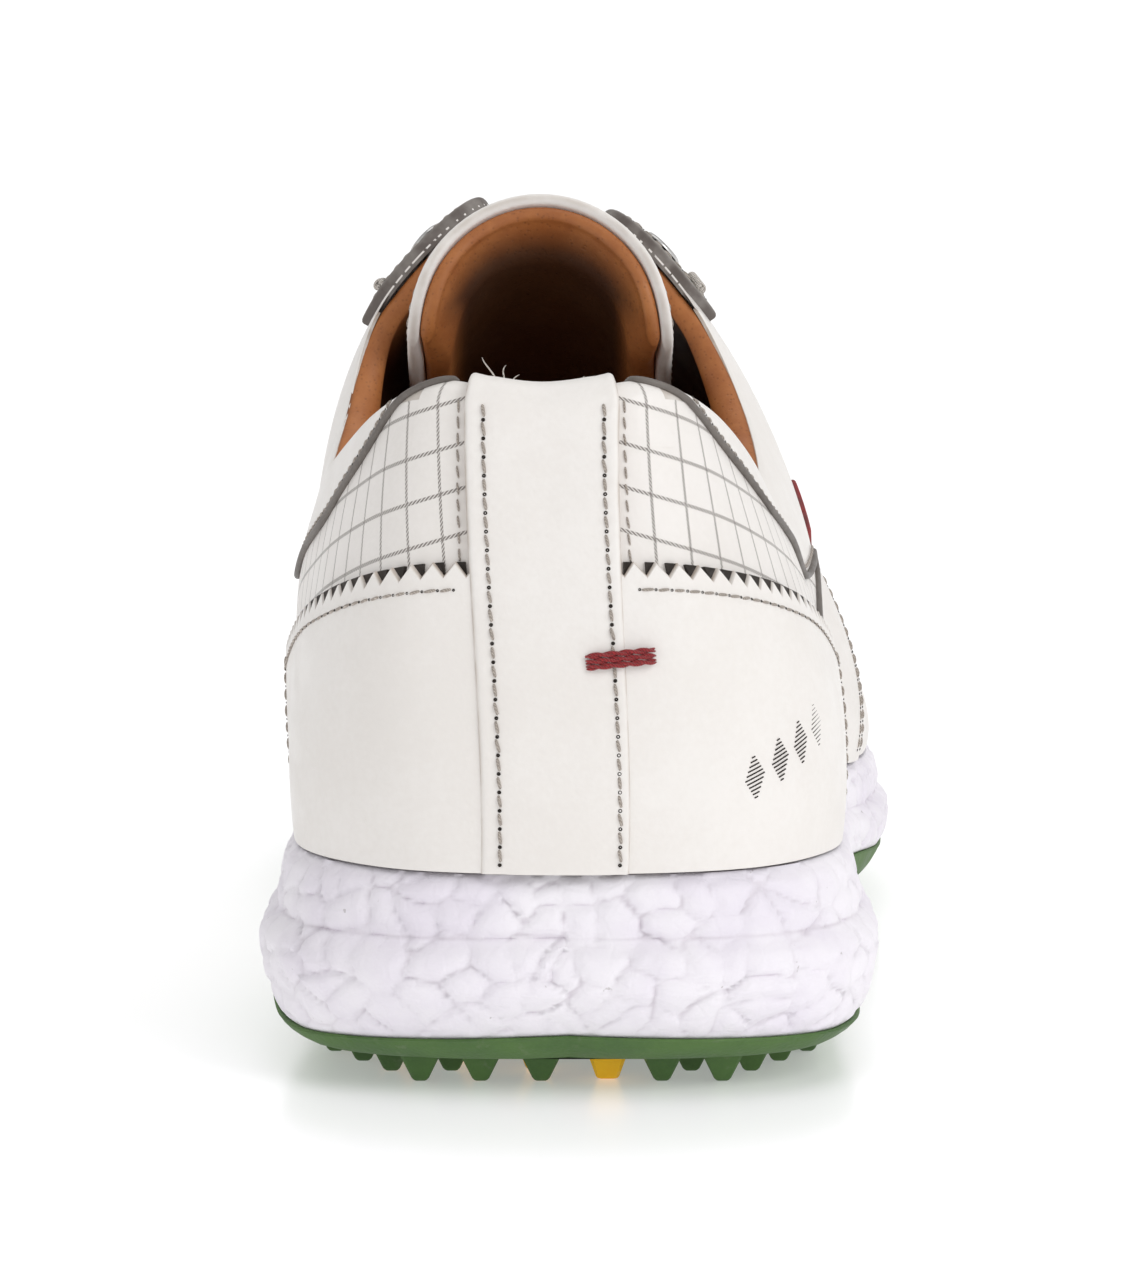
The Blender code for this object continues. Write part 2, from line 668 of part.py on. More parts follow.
def quarter_top(u):
    return np.minimum(piping_line(u) - SEAM, 1.0)


def backstay_edge(side):
    return lambda t: strip_edge(t, side) + SEAM_RIB


def stripe_edge(across):
    """The side stripe leans back as it climbs."""
    return lambda t: across + np.interp(t, [0.1, 0.35, 0.63], [6.1, 6.0, 5.4])


def facing_line(u):
    """Lower edge of the eyelet facing."""
    return np.interp(u, [6.0, 9.5], [0.76, 0.8])


def strip_edge(t, side):
    """The rib at the edge of the backstay, at each height."""
    heights = np.linspace(0, 1, 9)
    reach = np.interp(heights, [0, 1], BACKSTAY_HALF_WIDTHS) - side * BACKSTAY_LEAN * (1 - heights)
    ribs = [rib_at_distance(far, h, side) for far, h in zip(reach, heights)]
    return np.interp(t, heights, ribs)


def make_backstay(look):
    climb = np.linspace(0, 1, 10)
    share = np.linspace(-1, 1, 5)
    a, t = np.meshgrid(share, climb, indexing="ij")
    s = np.where(a > 0, a * strip_edge(t, 1), a * strip_edge(t, -1))
    outer, thickness = BACKSTAY
    sheet("backstay", s, t, look, np.full(s.shape, outer), thickness)


def make_vamp(name, ease, low, look, face, thickness):
    """The vamp, or its lining: from the seam on one side over the toe to the seam on the other."""
    climb = np.linspace(0, 1, round(1 / ROW) + 1)
    climb = low + climb * (1 - low)
    share = steps(0, 1, COLUMN / 12)
    a, t = np.meshgrid(share, climb, indexing="ij")
    start = vamp_seam(t) + ease
    s = start + a * (RIBS - 2 * start)
    return sheet(name, s, t, look, np.full(s.shape, face), thickness)


def make_toe_puff(look):
    round_sheet("toe_puff", TOE_PUFF_FROM, RIBS - TOE_PUFF_FROM, np.linspace(0.03, 1, 8), look, *STIFFENER)


def lining_depth(u, t):
    return LINING[0] - COLLAR_PAD * pad(u, t)


def lining_front(t):
    return vamp_seam(t) - 0.05


def make_linings(look):
    behind, thick = HEEL_LINING_END, LINING[1]
    climb = np.concatenate([np.linspace(LINING_FOOT, PAD_ROWS[0], 5)[:-1], PAD_ROWS])
    round_sheet("heel_lining", -behind, behind, climb, look, lining_depth, thick)
    for side, word in ((1, "lateral"), (-1, "medial")):
        name = "quarter_lining_" + word
        side_sheet(
            name, side, behind + 0.04, lining_front, LINING_FOOT, 1.0, look, lining_depth, thick, climb
        )
    make_vamp("vamp_lining", 0.02, LINING_FOOT, look, *LINING)


def make_collar_foam(look):
    """Padding between the collar panels and the linings, thick along the rim and thin below it."""
    columns = steps(-5.0, 5.0, COLUMN)
    s, t = np.meshgrid(columns, PAD_ROWS[:-1], indexing="ij")
    u = np.abs(s)
    outer = layer(s, t, np.full(s.shape, -2.1))
    inner = layer(s, t, LINING[0] + 0.7 - (COLLAR_PAD - 0.4) * pad(u, t))
    columns, rows = s.shape
    count = columns * rows
    faces = grid_faces(columns, rows)
    faces += [tuple(i + count for i in reversed(face)) for face in faces]
    rim = [i * rows for i in range(columns)]
    rim += [(columns - 1) * rows + j for j in range(1, rows)]
    rim += [i * rows + rows - 1 for i in range(columns - 2, -1, -1)]
    rim += [j for j in range(rows - 2, 0, -1)]
    for a, b in zip(rim, rim[1:] + rim[:1]):
        faces.append((b, a, a + count, b + count))
    points = np.concatenate([outer.reshape(-1, 3), inner.reshape(-1, 3)])
    obj = mesh_object("collar_foam", points, faces, look)
    face_out(obj)
    smooth(obj)


def make_piping(side, word, look):
    """A round bead over the seam between the collar panel and the quarter."""
    u = np.linspace(PIPING_FROM, PIPING_ENDS[word], 30)
    s = u if side > 0 else RIBS - u
    points = layer(s, piping_line(u), np.full(u.shape, 1.45))
    curve = bpy.data.curves.new("piping_" + word, "CURVE")
    curve.dimensions = "3D"
    curve.bevel_depth = 0.9 * MM
    curve.bevel_resolution = 1
    curve.use_fill_caps = True
    spline = curve.splines.new("POLY")
    spline.points.add(len(points) - 1)
    for knot, point in zip(spline.points, points):
        knot.co = (*world(point), 1.0)
    curve.materials.append(look)
    obj = bpy.data.objects.new("piping_" + word, curve)
    SHOE.objects.link(obj)


def place_on_skin(obj, s, t, offset, turn=0.0):
    """Stands the object on the upper, its Z along the outward normal and its Y up the rib."""
    normal = Vector(skin_normal(s, t))
    climb = Vector(skin(s, min(t + 0.02, 1)) - skin(s, t - 0.02)).normalized()
    across = climb.cross(normal).normalized()
    climb = normal.cross(across)
    frame = Matrix((across, climb, normal)).transposed().to_4x4()
    home = world(layer(s, t, np.array(offset)))
    obj.matrix_world = Matrix.Translation(home) @ frame @ Matrix.Rotation(turn, 4, "Z")


def make_eyelets(look):
    for side, word in ((1, "lateral"), (-1, "medial")):
        for count, u in enumerate(EYELET_RIBS, 1):
            s = u if side > 0 else RIBS - u
            heights = np.linspace(0.6, 1, 41)
            path = skin(np.full(41, s), heights)
            run = np.linalg.norm(np.diff(path, axis=0), axis=1)[::-1].cumsum()[::-1]
            t = float(np.interp(-EYELET_FROM_EDGE, -run, heights[:-1]))
            major, minor = EYELET_RING
            bpy.ops.mesh.primitive_torus_add(
                major_radius=major * MM, minor_radius=minor * MM, major_segments=12, minor_segments=4
            )
            ring_object = bpy.context.object
            adopt(ring_object, f"eyelet_{word}_{count}", look)
            place_on_skin(ring_object, s, t, OVERLAY[0] + CLEAR + minor + 0.15)
            smooth(ring_object, 60)


def adopt(obj, name, look):
    obj.name = name
    obj.data.name = name
    obj.data.materials.append(look)
    for home in list(obj.users_collection):
        home.objects.unlink(obj)
    SHOE.objects.link(obj)


def make_bartack(name, s, t, size, offset, look, turn=0.0):
    """A short thick bar of stitching."""
    bpy.ops.mesh.primitive_cube_add(size=1.0)
    obj = bpy.context.object
    adopt(obj, name, look)
    obj.data.transform(Matrix.Diagonal((*(side * MM for side in size), 1.0)))
    place_on_skin(obj, s, t, offset, turn)
    bevel = obj.modifiers.new("round", "BEVEL")
    bevel.width = 0.3 * MM
    bevel.segments = 1


# ---------------------------------------------------------------- tongue


def tongue_point(a, v, depth):
    """A place on the tongue: a across from -1 (medial) to 1, v from its base to its top, and depth
    below its outer face."""
    table = np.array([(*centre, wide, drop) for centre, wide, drop in TONGUE_LINE])
    spot = v * (len(table) - 1)
    x, y, z, wide, drop = (np.interp(spot, range(len(table)), table[:, i]) for i in range(5))
    slope = np.array([0.0, -0.85, 0.53])
    turn = a * TONGUE_TURN
    across = np.array([1.0, 0.0, 0.0])
    up = np.cross(slope, across)
    centre = np.stack([x, y, z], axis=-1)
    level = (wide - depth)[..., None] * np.sin(turn)[..., None] * across
    fall = (drop * (1 - np.cos(turn)) + depth * np.cos(turn))[..., None] * up
    return centre + level - fall


def make_tongue(pieces):
    """The tongue's leather, foam and lining, each a curved slab between two depths."""
    rows = np.linspace(0, 1, 12)
    columns = np.linspace(-1, 1, 11)
    a, v = np.meshgrid(columns, rows, indexing="ij")
    count = a.size
    for name, top, bottom, narrow, look in pieces:
        outer = tongue_point(a * narrow, v, np.full(a.shape, top))
        inner = tongue_point(a * narrow, v, np.full(a.shape, bottom))
        faces = grid_faces(*a.shape)
        faces += [tuple(i + count for i in reversed(face)) for face in faces]
        high = len(rows)
        rim = [i * high for i in range(len(columns))]
        rim += [(len(columns) - 1) * high + j for j in range(1, high)]
        rim += [i * high + high - 1 for i in range(len(columns) - 2, -1, -1)]
        rim += [j for j in range(high - 2, 0, -1)]
        for i, j in zip(rim, rim[1:] + rim[:1]):
            faces.append((j, i, i + count, j + count))
        points = np.concatenate([outer.reshape(-1, 3), inner.reshape(-1, 3)])
        obj = mesh_object(name, points, faces, look, TONGUE_HINGE)
        face_out(obj)
        smooth(obj)


# ---------------------------------------------------------------- the shoe


def main():
    white = material("grid_leather", (0.83, 0.79, 0.76), 0.45)
    smooth_white = material("smooth_leather", (0.84, 0.80, 0.77), 0.42)
    grey = material("grey_leather", (0.33, 0.3, 0.28), 0.55)
    tan = material("tan_lining", (0.40, 0.14, 0.04), 0.75)
    foam = material("foam", (0.6, 0.58, 0.5), 0.95)
    board = material("fibre_board", (0.5, 0.42, 0.3), 0.9)
    eva = material("midsole_foam", (0.80, 0.74, 0.81), 0.6)
    green = material("green_rubber", (0.05, 0.14, 0.025), 0.6)
    yellow = material("yellow_rubber", (0.88, 0.45, 0.01), 0.5)
    red = material("red_thread", (0.26, 0.01, 0.012), 0.7)
    steel = material("eyelet_metal", (0.6, 0.6, 0.6), 0.35, 1.0)
    nylon = material("shank_nylon", (0.03, 0.03, 0.035), 0.5)

    make_outsole(green)
    for name, ends in INSERTS.items():
        make_insert(name, ends, yellow)
    make_midsole(eva)
    shank_block("shank", 0.0, 0.0, nylon)
    board_top = CLEAR + BOARD_THICK
    flat_board("strobel_board", BOARD_INSET, CLEAR, board_top, board)
    hinge = (-8.0, SOCKLINER_HINGE_Y, float(top_of_midsole(SOCKLINER_HINGE_Y)) + board_top + CLEAR)
    under = board_top + CLEAR
    flat_board("sockliner", SOCKLINER_INSET, under, under + SOCKLINER_THICK, tan, hinge)

    make_outer_panels(white, smooth_white, grey, red)
    make_toe_puff(board)
    reach = COUNTER_PANEL_END
    round_sheet("heel_counter", -reach, reach, np.linspace(0.03, 0.6, 6), board, *STIFFENER)
    make_linings(tan)
    make_collar_foam(foam)
    for sign, word in ((1, "lateral"), (-1, "medial")):
        make_piping(sign, word, grey)
        corner = FACING_CORNER if sign > 0 else RIBS - FACING_CORNER
        make_bartack("facing_bartack_" + word, corner, 0.93, (5.0, 1.8, 0.9), 2.6, smooth_white)
    make_bartack("heel_bartack", 0.355, 0.44, (10.0, 2.2, 1.0), 3.4, red)
    make_eyelets(steel)
    make_tongue(
        [
            ("tongue_leather", 0.0, 1.2, 1.0, smooth_white),
            ("tongue_foam", 1.6, 5.2, 0.97, foam),
            ("tongue_lining", 5.6, 6.5, 0.97, tan),
        ]
    )


FEATHER, LEAN, TOP, SHOULDER = rib_tables()
clear_scene()
SHOE = collection("golf_shoe")
CUTTERS = collection("cutters")
main()
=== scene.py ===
"""Looks of the golf shoe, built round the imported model.

Everything is computed in millimetres about the heel's centre line and turned into metres in the
shoe's frame by world(). A place on the upper is (s, t, offset): s counts the 30 ribs round the shoe
(0 the heel, 15 the toe), t climbs from the feather line to the top edge, and offset is along the
outward normal. These tables and curves are those of the CAD source.
"""

import math

import bpy
import numpy as np
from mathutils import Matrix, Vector

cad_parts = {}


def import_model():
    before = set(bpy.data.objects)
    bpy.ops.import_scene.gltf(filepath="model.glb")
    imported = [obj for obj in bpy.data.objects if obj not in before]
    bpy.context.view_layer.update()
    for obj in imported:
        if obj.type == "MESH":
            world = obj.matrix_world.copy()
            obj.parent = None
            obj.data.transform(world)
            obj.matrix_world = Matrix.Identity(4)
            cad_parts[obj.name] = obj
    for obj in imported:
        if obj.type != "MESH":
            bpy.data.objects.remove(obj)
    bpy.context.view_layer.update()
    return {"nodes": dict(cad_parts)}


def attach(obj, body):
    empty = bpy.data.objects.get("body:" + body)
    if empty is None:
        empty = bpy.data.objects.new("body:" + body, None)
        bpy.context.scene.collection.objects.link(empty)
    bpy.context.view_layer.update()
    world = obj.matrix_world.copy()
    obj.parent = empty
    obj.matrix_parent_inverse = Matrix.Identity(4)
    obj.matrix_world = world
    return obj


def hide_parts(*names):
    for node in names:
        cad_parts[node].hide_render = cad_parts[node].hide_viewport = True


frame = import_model()
RNG = np.random.default_rng(7)

# The sizes, in millimetres.
MM = 0.001
CENTRE = (3.26, 0.29)  # the middle of the shoe's box, from the heel's centre line
SIDES = ((1, "lateral"), (-1, "medial"))
LUG_HEIGHT = 4.6
OUTSOLE_WALL = 1.5
OUTSOLE_PROUD = 0.6
HEEL_STACK = 33.2
FOREFOOT_STACK = 25.5
STACK_FALLS_FROM = -80.0
STACK_FALLS_TO = 40.0
TOE_SPRING = 9.0
TOE_SPRING_FROM = 72.0
TOE_TIP = 150.0
FEATHER_LIFT = 0.6
COLLAR_PAD = 3.4
OVERLAY = 1.7
BACKSTAY = 2.2
LINING_INNER = -4.3
BACKSTAY_HALF_WIDTH = 10.3
BACKSTAY_HALF_WIDTHS = (10.7, 10.9)
BACKSTAY_LEAN = 2.1

# For each rib: where it starts on the feather line, its bulge and rise there, its top, and the
# shoulder just below the top, from the top.
LATERAL_RIBS = [
    ((0.0, -146.5), 3.5, 24, (-4.0, -140.0, 103.5), (0.0, -3.0, -24.0)),
    ((24.0, -141.5), 3.5, 24, (12.5, -137.5, 105.3), (4.0, -3.0, -24.0)),
    ((37.6, -124.5), 3.0, 23, (20.7, -122.0, 101.2), (8.0, -1.5, -22.0)),
    ((40.3, -99.0), 2.5, 21, (26.8, -98.0, 92.0), (9.5, 0.0, -18.0)),
    ((40.2, -70.0), 3.0, 18, (29.5, -75.0, 83.5), (9.5, 0.0, -14.0)),
    ((40.0, -43.0), 4.5, 20, (27.5, -51.0, 94.2), (13.5, 4.0, -18.0)),
    ((41.0, -21.0), 5.5, 22, (19.3, -38.0, 111.0), (17.5, 8.0, -20.0)),
    ((44.0, 2.0), 6.0, 22, (5.8, -30.0, 123.5), (19.5, 6.0, -13.0)),
    ((49.0, 22.0), 5.5, 20, (5.5, -5.0, 109.0), (19.0, 6.0, -9.0)),
    ((52.0, 40.0), 4.5, 17, (4.5, 18.0, 94.5), (19.0, 5.0, -7.0)),
    ((52.5, 59.0), 4.0, 15, (-4.5, 42.0, 80.0), (26.0, 0.0, 0.0)),
    ((50.0, 80.0), 4.0, 14, (-6.0, 62.0, 70.0), (26.0, 0.0, 0.0)),
    ((44.0, 102.0), 4.0, 12, (-7.5, 84.0, 60.0), (22.0, 0.0, 0.0)),
    ((33.0, 122.0), 4.0, 11, (-8.5, 103.0, 52.5), (19.0, 3.0, -0.5)),
    ((15.5, 139.0), 4.0, 11, (-9.0, 114.0, 48.5), (13.0, 12.0, -3.0)),
    ((-7.0, 147.0), 4.0, 11, (-9.0, 114.0, 48.5), (0.0, 17.0, -5.0)),
]
MEDIAL_RIBS = [
    ((-24.0, -141.5), 3.5, 24, (-20.5, -137.5, 105.3), (-4.0, -3.0, -24.0)),
    ((-37.6, -124.5), 3.0, 23, (-29.0, -122.0, 100.4), (-5.5, -1.5, -22.0)),
    ((-40.3, -99.0), 2.5, 21, (-35.8, -98.0, 91.0), (-6.0, 0.0, -18.0)),
    ((-39.7, -70.0), 3.0, 18, (-38.0, -75.0, 84.2), (-7.5, 0.0, -15.0)),
    ((-37.5, -43.0), 5.5, 20, (-35.5, -51.0, 93.0), (-9.0, 4.0, -18.0)),
    ((-35.5, -19.0), 7.0, 22, (-30.0, -38.0, 110.5), (-14.0, 8.0, -22.0)),
    ((-36.5, 4.0), 7.0, 22, (-13.8, -30.0, 125.5), (-21.0, 6.0, -15.0)),
    ((-39.5, 26.0), 6.0, 20, (-13.5, -5.0, 110.0), (-18.0, 6.0, -10.0)),
    ((-43.0, 46.0), 5.0, 17, (-12.5, 18.0, 95.0), (-17.0, 5.0, -8.0)),
    ((-45.5, 65.0), 4.0, 15, (-4.5, 42.0, 80.0), (-24.0, 0.0, 0.0)),
    ((-45.5, 86.0), 4.0, 14, (-6.0, 62.0, 70.0), (-23.0, 0.0, 0.0)),
    ((-42.5, 107.0), 4.0, 12, (-7.5, 84.0, 60.0), (-20.0, 0.0, 0.0)),
    ((-36.0, 126.0), 4.0, 11, (-8.5, 103.0, 52.5), (-17.0, 3.0, -0.5)),
    ((-24.5, 140.0), 4.0, 11, (-9.0, 114.0, 48.5), (-9.0, 13.0, -3.0)),
]
RIBS = 30
TOE_RIB = 15
RIDGE_FROM = 10

# Along the tongue from the throat to the top: the ridge, half its width, and how far its sides drop.
TONGUE_LINE = [
    ((-6.0, 52.0, 65.0), 15.0, 7.0),
    ((-5.5, 32.0, 78.5), 20.0, 14.0),
    ((-5.0, 8.0, 95.0), 21.5, 19.0),
    ((-4.7, -16.0, 110.0), 21.5, 22.0),
    ((-4.7, -32.0, 121.0), 21.5, 24.5),
    ((-4.7, -41.0, 128.0), 21.5, 26.0),
]
TONGUE_TURN = math.radians(86)
EYELET_RIBS = (6.75, 7.45, 8.15, 8.85, 9.45)
EYELET_FROM_EDGE = 8.0
LUG_PITCH = 9.0
LUG_ROW = 8.1
LUG_FIRST_X = -4.2
LUG_FIRST_Y = -2.0
LUG_BASE = 4.9
HALF_SIDE = 0.707  # of a square, for a corner at distance 1
LUG_MARGIN = -6.0
WAIST = (-52.0, 2.0)
INSERT_HALF_WIDTH = 4.6
INSERT_LUGS = 4
INSERT_LUG = (4.6, 2.2)
INSERTS = {
    "heel_insert": ((-26.0, -106.0), (5.7, -129.6)),
    "forefoot_insert_lateral": ((14.0, 47.0), (37.0, 55.0)),
    "forefoot_insert_medial": ((-33.0, 65.0), (-8.0, 58.0)),
}
BOARD_TOP = 1.5
SOCKLINER_INSET = 7.8


# ---------------------------------------------------------------- curves of the shoe


def world(points):
    """Millimetres about the heel's centre line, as metres in the shoe's frame."""
    return (np.asarray(points, float) - [CENTRE[0], CENTRE[1], 0.0]) * MM


def spring(y):
    rise = np.clip((y - TOE_SPRING_FROM) / (TOE_TIP - TOE_SPRING_FROM), 0, 1)
    return TOE_SPRING * rise**2


def top_of_midsole(y):
    fall = np.clip((y - STACK_FALLS_FROM) / (STACK_FALLS_TO - STACK_FALLS_FROM), 0, 1)
    return HEEL_STACK + (FOREFOOT_STACK - HEEL_STACK) * fall + 0.55 * spring(y)


def loop(values, s):
    """A smooth closed curve through the values of the ribs (Catmull-Rom)."""
    s = np.asarray(s, float) % RIBS
    k = np.floor(s).astype(int)
    f = (s - k)[..., None]
    p0, p1, p2, p3 = (values[(k + step) % RIBS] for step in (-1, 0, 1, 2))
    return 0.5 * (
        2 * p1 + (p2 - p0) * f + (2 * p0 - 5 * p1 + 4 * p2 - p3) * f**2 + (3 * p1 - p0 - 3 * p2 + p3) * f**3
    )


def unit(vectors):
    return vectors / np.maximum(np.linalg.norm(vectors, axis=-1, keepdims=True), 1e-9)


def outward(s):
    ahead = loop(FEATHER, np.asarray(s, float) + 0.05) - loop(FEATHER, np.asarray(s, float) - 0.05)
    return unit(np.stack([ahead[..., 1], -ahead[..., 0]], axis=-1))


def outline(s, out):
    return loop(FEATHER, s) + out * outward(s)


def rib_tables():
    ribs = LATERAL_RIBS + MEDIAL_RIBS[::-1]
    feather = np.array([rib[0] for rib in ribs], float)
    lean = np.array([(rib[1], rib[2]) for rib in ribs], float)
    top = np.array([rib[3] for rib in ribs], float)
    shoulder = np.array([rib[4] for rib in ribs], float)
    return feather, lean, top, shoulder


FEATHER, LEAN, TOP, SHOULDER = rib_tables()


def top_edge(s):
    s = np.asarray(s, float) % RIBS
    on_ridge = (s >= RIDGE_FROM) & (s <= RIBS - RIDGE_FROM)
    shared = 0.5 * (loop(TOP, s) + loop(TOP, RIBS - s))
    return np.where(on_ridge[..., None], shared, loop(TOP, s))


def skin(s, t):
    s, t = np.broadcast_arrays(np.asarray(s, float), np.asarray(t, float))
    plan = loop(FEATHER, s)
    foot = np.concatenate([plan, (top_of_midsole(plan[..., 1]) + FEATHER_LIFT)[..., None]], axis=-1)
    bulge, rise = np.moveaxis(loop(LEAN, s), -1, 0)
    low = foot + np.concatenate([outward(s) * bulge[..., None], rise[..., None]], axis=-1)
    end = top_edge(s)
    high = end + loop(SHOULDER, s)
    t = t[..., None]
    return (1 - t) ** 3 * foot + 3 * (1 - t) ** 2 * t * low + 3 * (1 - t) * t**2 * high + t**3 * end


def skin_normal(s, t):
    s, t = np.broadcast_arrays(np.asarray(s, float) % RIBS, np.asarray(t, float))
    along = skin(s + 0.02, t) - skin(s - 0.02, t)
    lower, upper = np.clip(t - 0.01, 0, 0.97), np.clip(t + 0.01, 0.03, 1)
    normal = np.cross(along, skin(s, upper) - skin(s, lower))
    ridge = np.clip(np.where(s > TOE_RIB, RIBS - s, s), RIDGE_FROM, TOE_RIB - 1.5)
    ridge_run = top_edge(ridge + 0.05) - top_edge(ridge - 0.05)
    level = np.cross([1.0, 0.0, 0.0], ridge_run)
    on_ridge = (s >= RIDGE_FROM) & (s <= RIBS - RIDGE_FROM) & (t > 0.985)
    normal = np.where(on_ridge[..., None], level, normal)
    return unit(normal)


def layer(s, t, offset):
    return skin(s, t) + skin_normal(s, t) * np.asarray(offset, float)[..., None]


def run_along(path):
    """How far along a line each of its points is."""
    return np.concatenate([[0], np.cumsum(np.linalg.norm(np.diff(path, axis=0), axis=1))])


def rib_at_distance(distance, t, side):
    reach = np.linspace(0, 1.5, 61)
    return float(np.interp(distance, run_along(skin(side * reach, t)), reach))


def strip_half_width(t, side):
    return np.interp(t, [0, 1], BACKSTAY_HALF_WIDTHS) - side * BACKSTAY_LEAN * (1 - t)


HEIGHTS = np.linspace(0, 1, 21)
EDGE_RIBS = {
    side: [rib_at_distance(strip_half_width(t, side), t, side) for t in HEIGHTS] for side, _ in SIDES
}


def strip_edge(t, side):
    """The rib at the edge of the backstay, at each height."""
    return np.interp(t, HEIGHTS, EDGE_RIBS[side])


def piping_line(u):
    """The height of the bead between the collar panel and the quarter."""
    knots = [0.85, 1.25, 1.5, 2.0, 2.5, 3.0, 3.5, 4.0, 4.5, 5.0, 5.5, 6.5, 7.5, 8.6]
    heights = [1.0, 0.978, 0.947, 0.857, 0.775, 0.75, 0.728, 0.69, 0.64, 0.59, 0.555, 0.51, 0.47, 0.43]
    return eased(u, knots, heights, 0.12)


def pinked_line(u):
    """The height of the counter panel's pinked top edge."""
    knots = [0.0, 0.6, 1.0, 1.5, 2.0, 2.5, 3.0, 3.3]
    return eased(u, knots, [0.652, 0.638, 0.618, 0.595, 0.568, 0.535, 0.495, 0.462], 0.2)


def stripe_line(t):
    return eased(t, [0.1, 0.35, 0.63], [6.1, 6.0, 5.4], 0.02)


def eased(u, knots, heights, span):
    """A run of straight lines with its corners rounded over span."""
    u = np.asarray(u, float)
    return sum(np.interp(u + span * k, knots, heights) for k in (-1, -0.5, 0, 0.5, 1)) / 5


def vamp_seam(t):
    """The rib at which quarter and vamp meet, at each height."""
    return 7.9 + 1.75 * np.asarray(t, float) ** 1.3


def pad(u, t):
    """The share of the collar's full padding."""
    along = np.interp(u, [0.0, 4.2, 5.8], [1.0, 1.0, 0.0])
    climb = np.clip((np.asarray(t, float) - 0.7) / 0.16, 0, 1)
    return along * climb * climb * (3 - 2 * climb)


def facing_line(u):
    """The height of the eyelet facing's lower edge."""
    return eased(u, [6.05, 6.3, 6.8, 7.5, 9.5], [0.925, 0.885, 0.825, 0.78, 0.8], 0.08)


def rib_of(u, side):
    return u if side > 0 else RIBS - u


def wrap_height(s):
    """How far up the sole's side the outsole reaches, as a share of the stack."""
    s = np.asarray(s, float) % RIBS
    u = np.where(s > TOE_RIB, RIBS - s, s)
    ribs = [0, 1, 1.9, 2.4, 3.0, 3.6, 5.0, 8.5, 11.0, 15]
    medial = eased(u, ribs, [0.15, 0.12, 0.1, 0.14, 0.3, 0.45, 0.5, 0.5, 0.24, 0.26], 0.2)
    ribs = [0, 1, 1.9, 3.6, 5.0, 7.5, 9.0, 15]
    lateral = eased(u, ribs, [0.15, 0.12, 0.1, 0.14, 0.36, 0.34, 0.24, 0.26], 0.3)
    share = np.clip((u - 14.3) / 0.7, 0, 1)
    meet = 0.5 * (medial + lateral)
    return np.where(s > TOE_RIB, medial, lateral) * (1 - share) + meet * share


SIDE_SHARES = [0.0, 0.05, 0.12, 0.2, 0.27, 0.38, 0.5, 0.58, 0.63, 0.67, 0.7, 0.78, 0.93, 1.0]
SIDE_REACH = [-2.2, -0.6, 0.7, 1.7, 2.4, 3.2, 3.75, 3.5, 2.6, 1.35, 1.5, 1.7, 1.1, -0.2]


def sole_side(share):
    return eased(share, SIDE_SHARES, SIDE_REACH, 0.018)


def sole_height(share, y):
    return LUG_HEIGHT + spring(y) + share * (top_of_midsole(y) - LUG_HEIGHT - spring(y))


def sole_point(s, share, out):
    """A place on the sole's side, out millimetres beyond the feather line at this share of the stack."""
    s, share, out = np.broadcast_arrays(np.asarray(s, float), share, out)
    u = np.minimum(s % RIBS, -s % RIBS)
    corner = np.interp(u, [0.0, 0.8, 1.6, 2.2, 3.0, 4.2, 5.2], [0.0, 2.0, 4.2, 3.6, 2.4, 1.2, 0.0])
    square = np.interp(share, [0.55, 0.8, 1.0], [1.0, 0.7, 0.4])
    round_heel = np.interp(u, [0.0, 1.0, 1.8], [1.0, 0.75, 0.0])
    back = round_heel * np.interp(share, [0.0, 0.16, 0.4], [4.5, 3.4, 0.0])
    plan = outline(s, (out + square * corner - back)[..., None])
    return np.concatenate([plan, sole_height(share, plan[..., 1])[..., None]], axis=-1)


def tongue_point(a, v, depth):
    """A place on the tongue: a from -1 to 1 across, v from 0 to 1 along, depth inwards."""
    table = np.array([(*centre, wide, drop) for centre, wide, drop in TONGUE_LINE])
    spot = v * (len(table) - 1)
    x, y, z, wide, drop = (eased(spot, range(len(table)), table[:, i], 0.25) for i in range(5))
    end = np.clip(v, 0.9, 1.0) - 0.9
    x, y, z, wide, drop = (
        value + (np.interp(spot, range(len(table)), table[:, i]) - value) * end * 10
        for i, value in enumerate((x, y, z, wide, drop))
    )
    slope = np.array([0.0, -0.85, 0.53])
    turn = a * TONGUE_TURN
    across = np.array([1.0, 0.0, 0.0])
    up = np.cross(slope, across)
    centre = np.stack([x, y, z], axis=-1)
    level = (wide - depth)[..., None] * np.sin(turn)[..., None] * across
    fall = (drop * (1 - np.cos(turn)) + depth * np.cos(turn))[..., None] * up
    return centre + level - fall


# ---------------------------------------------------------------- materials


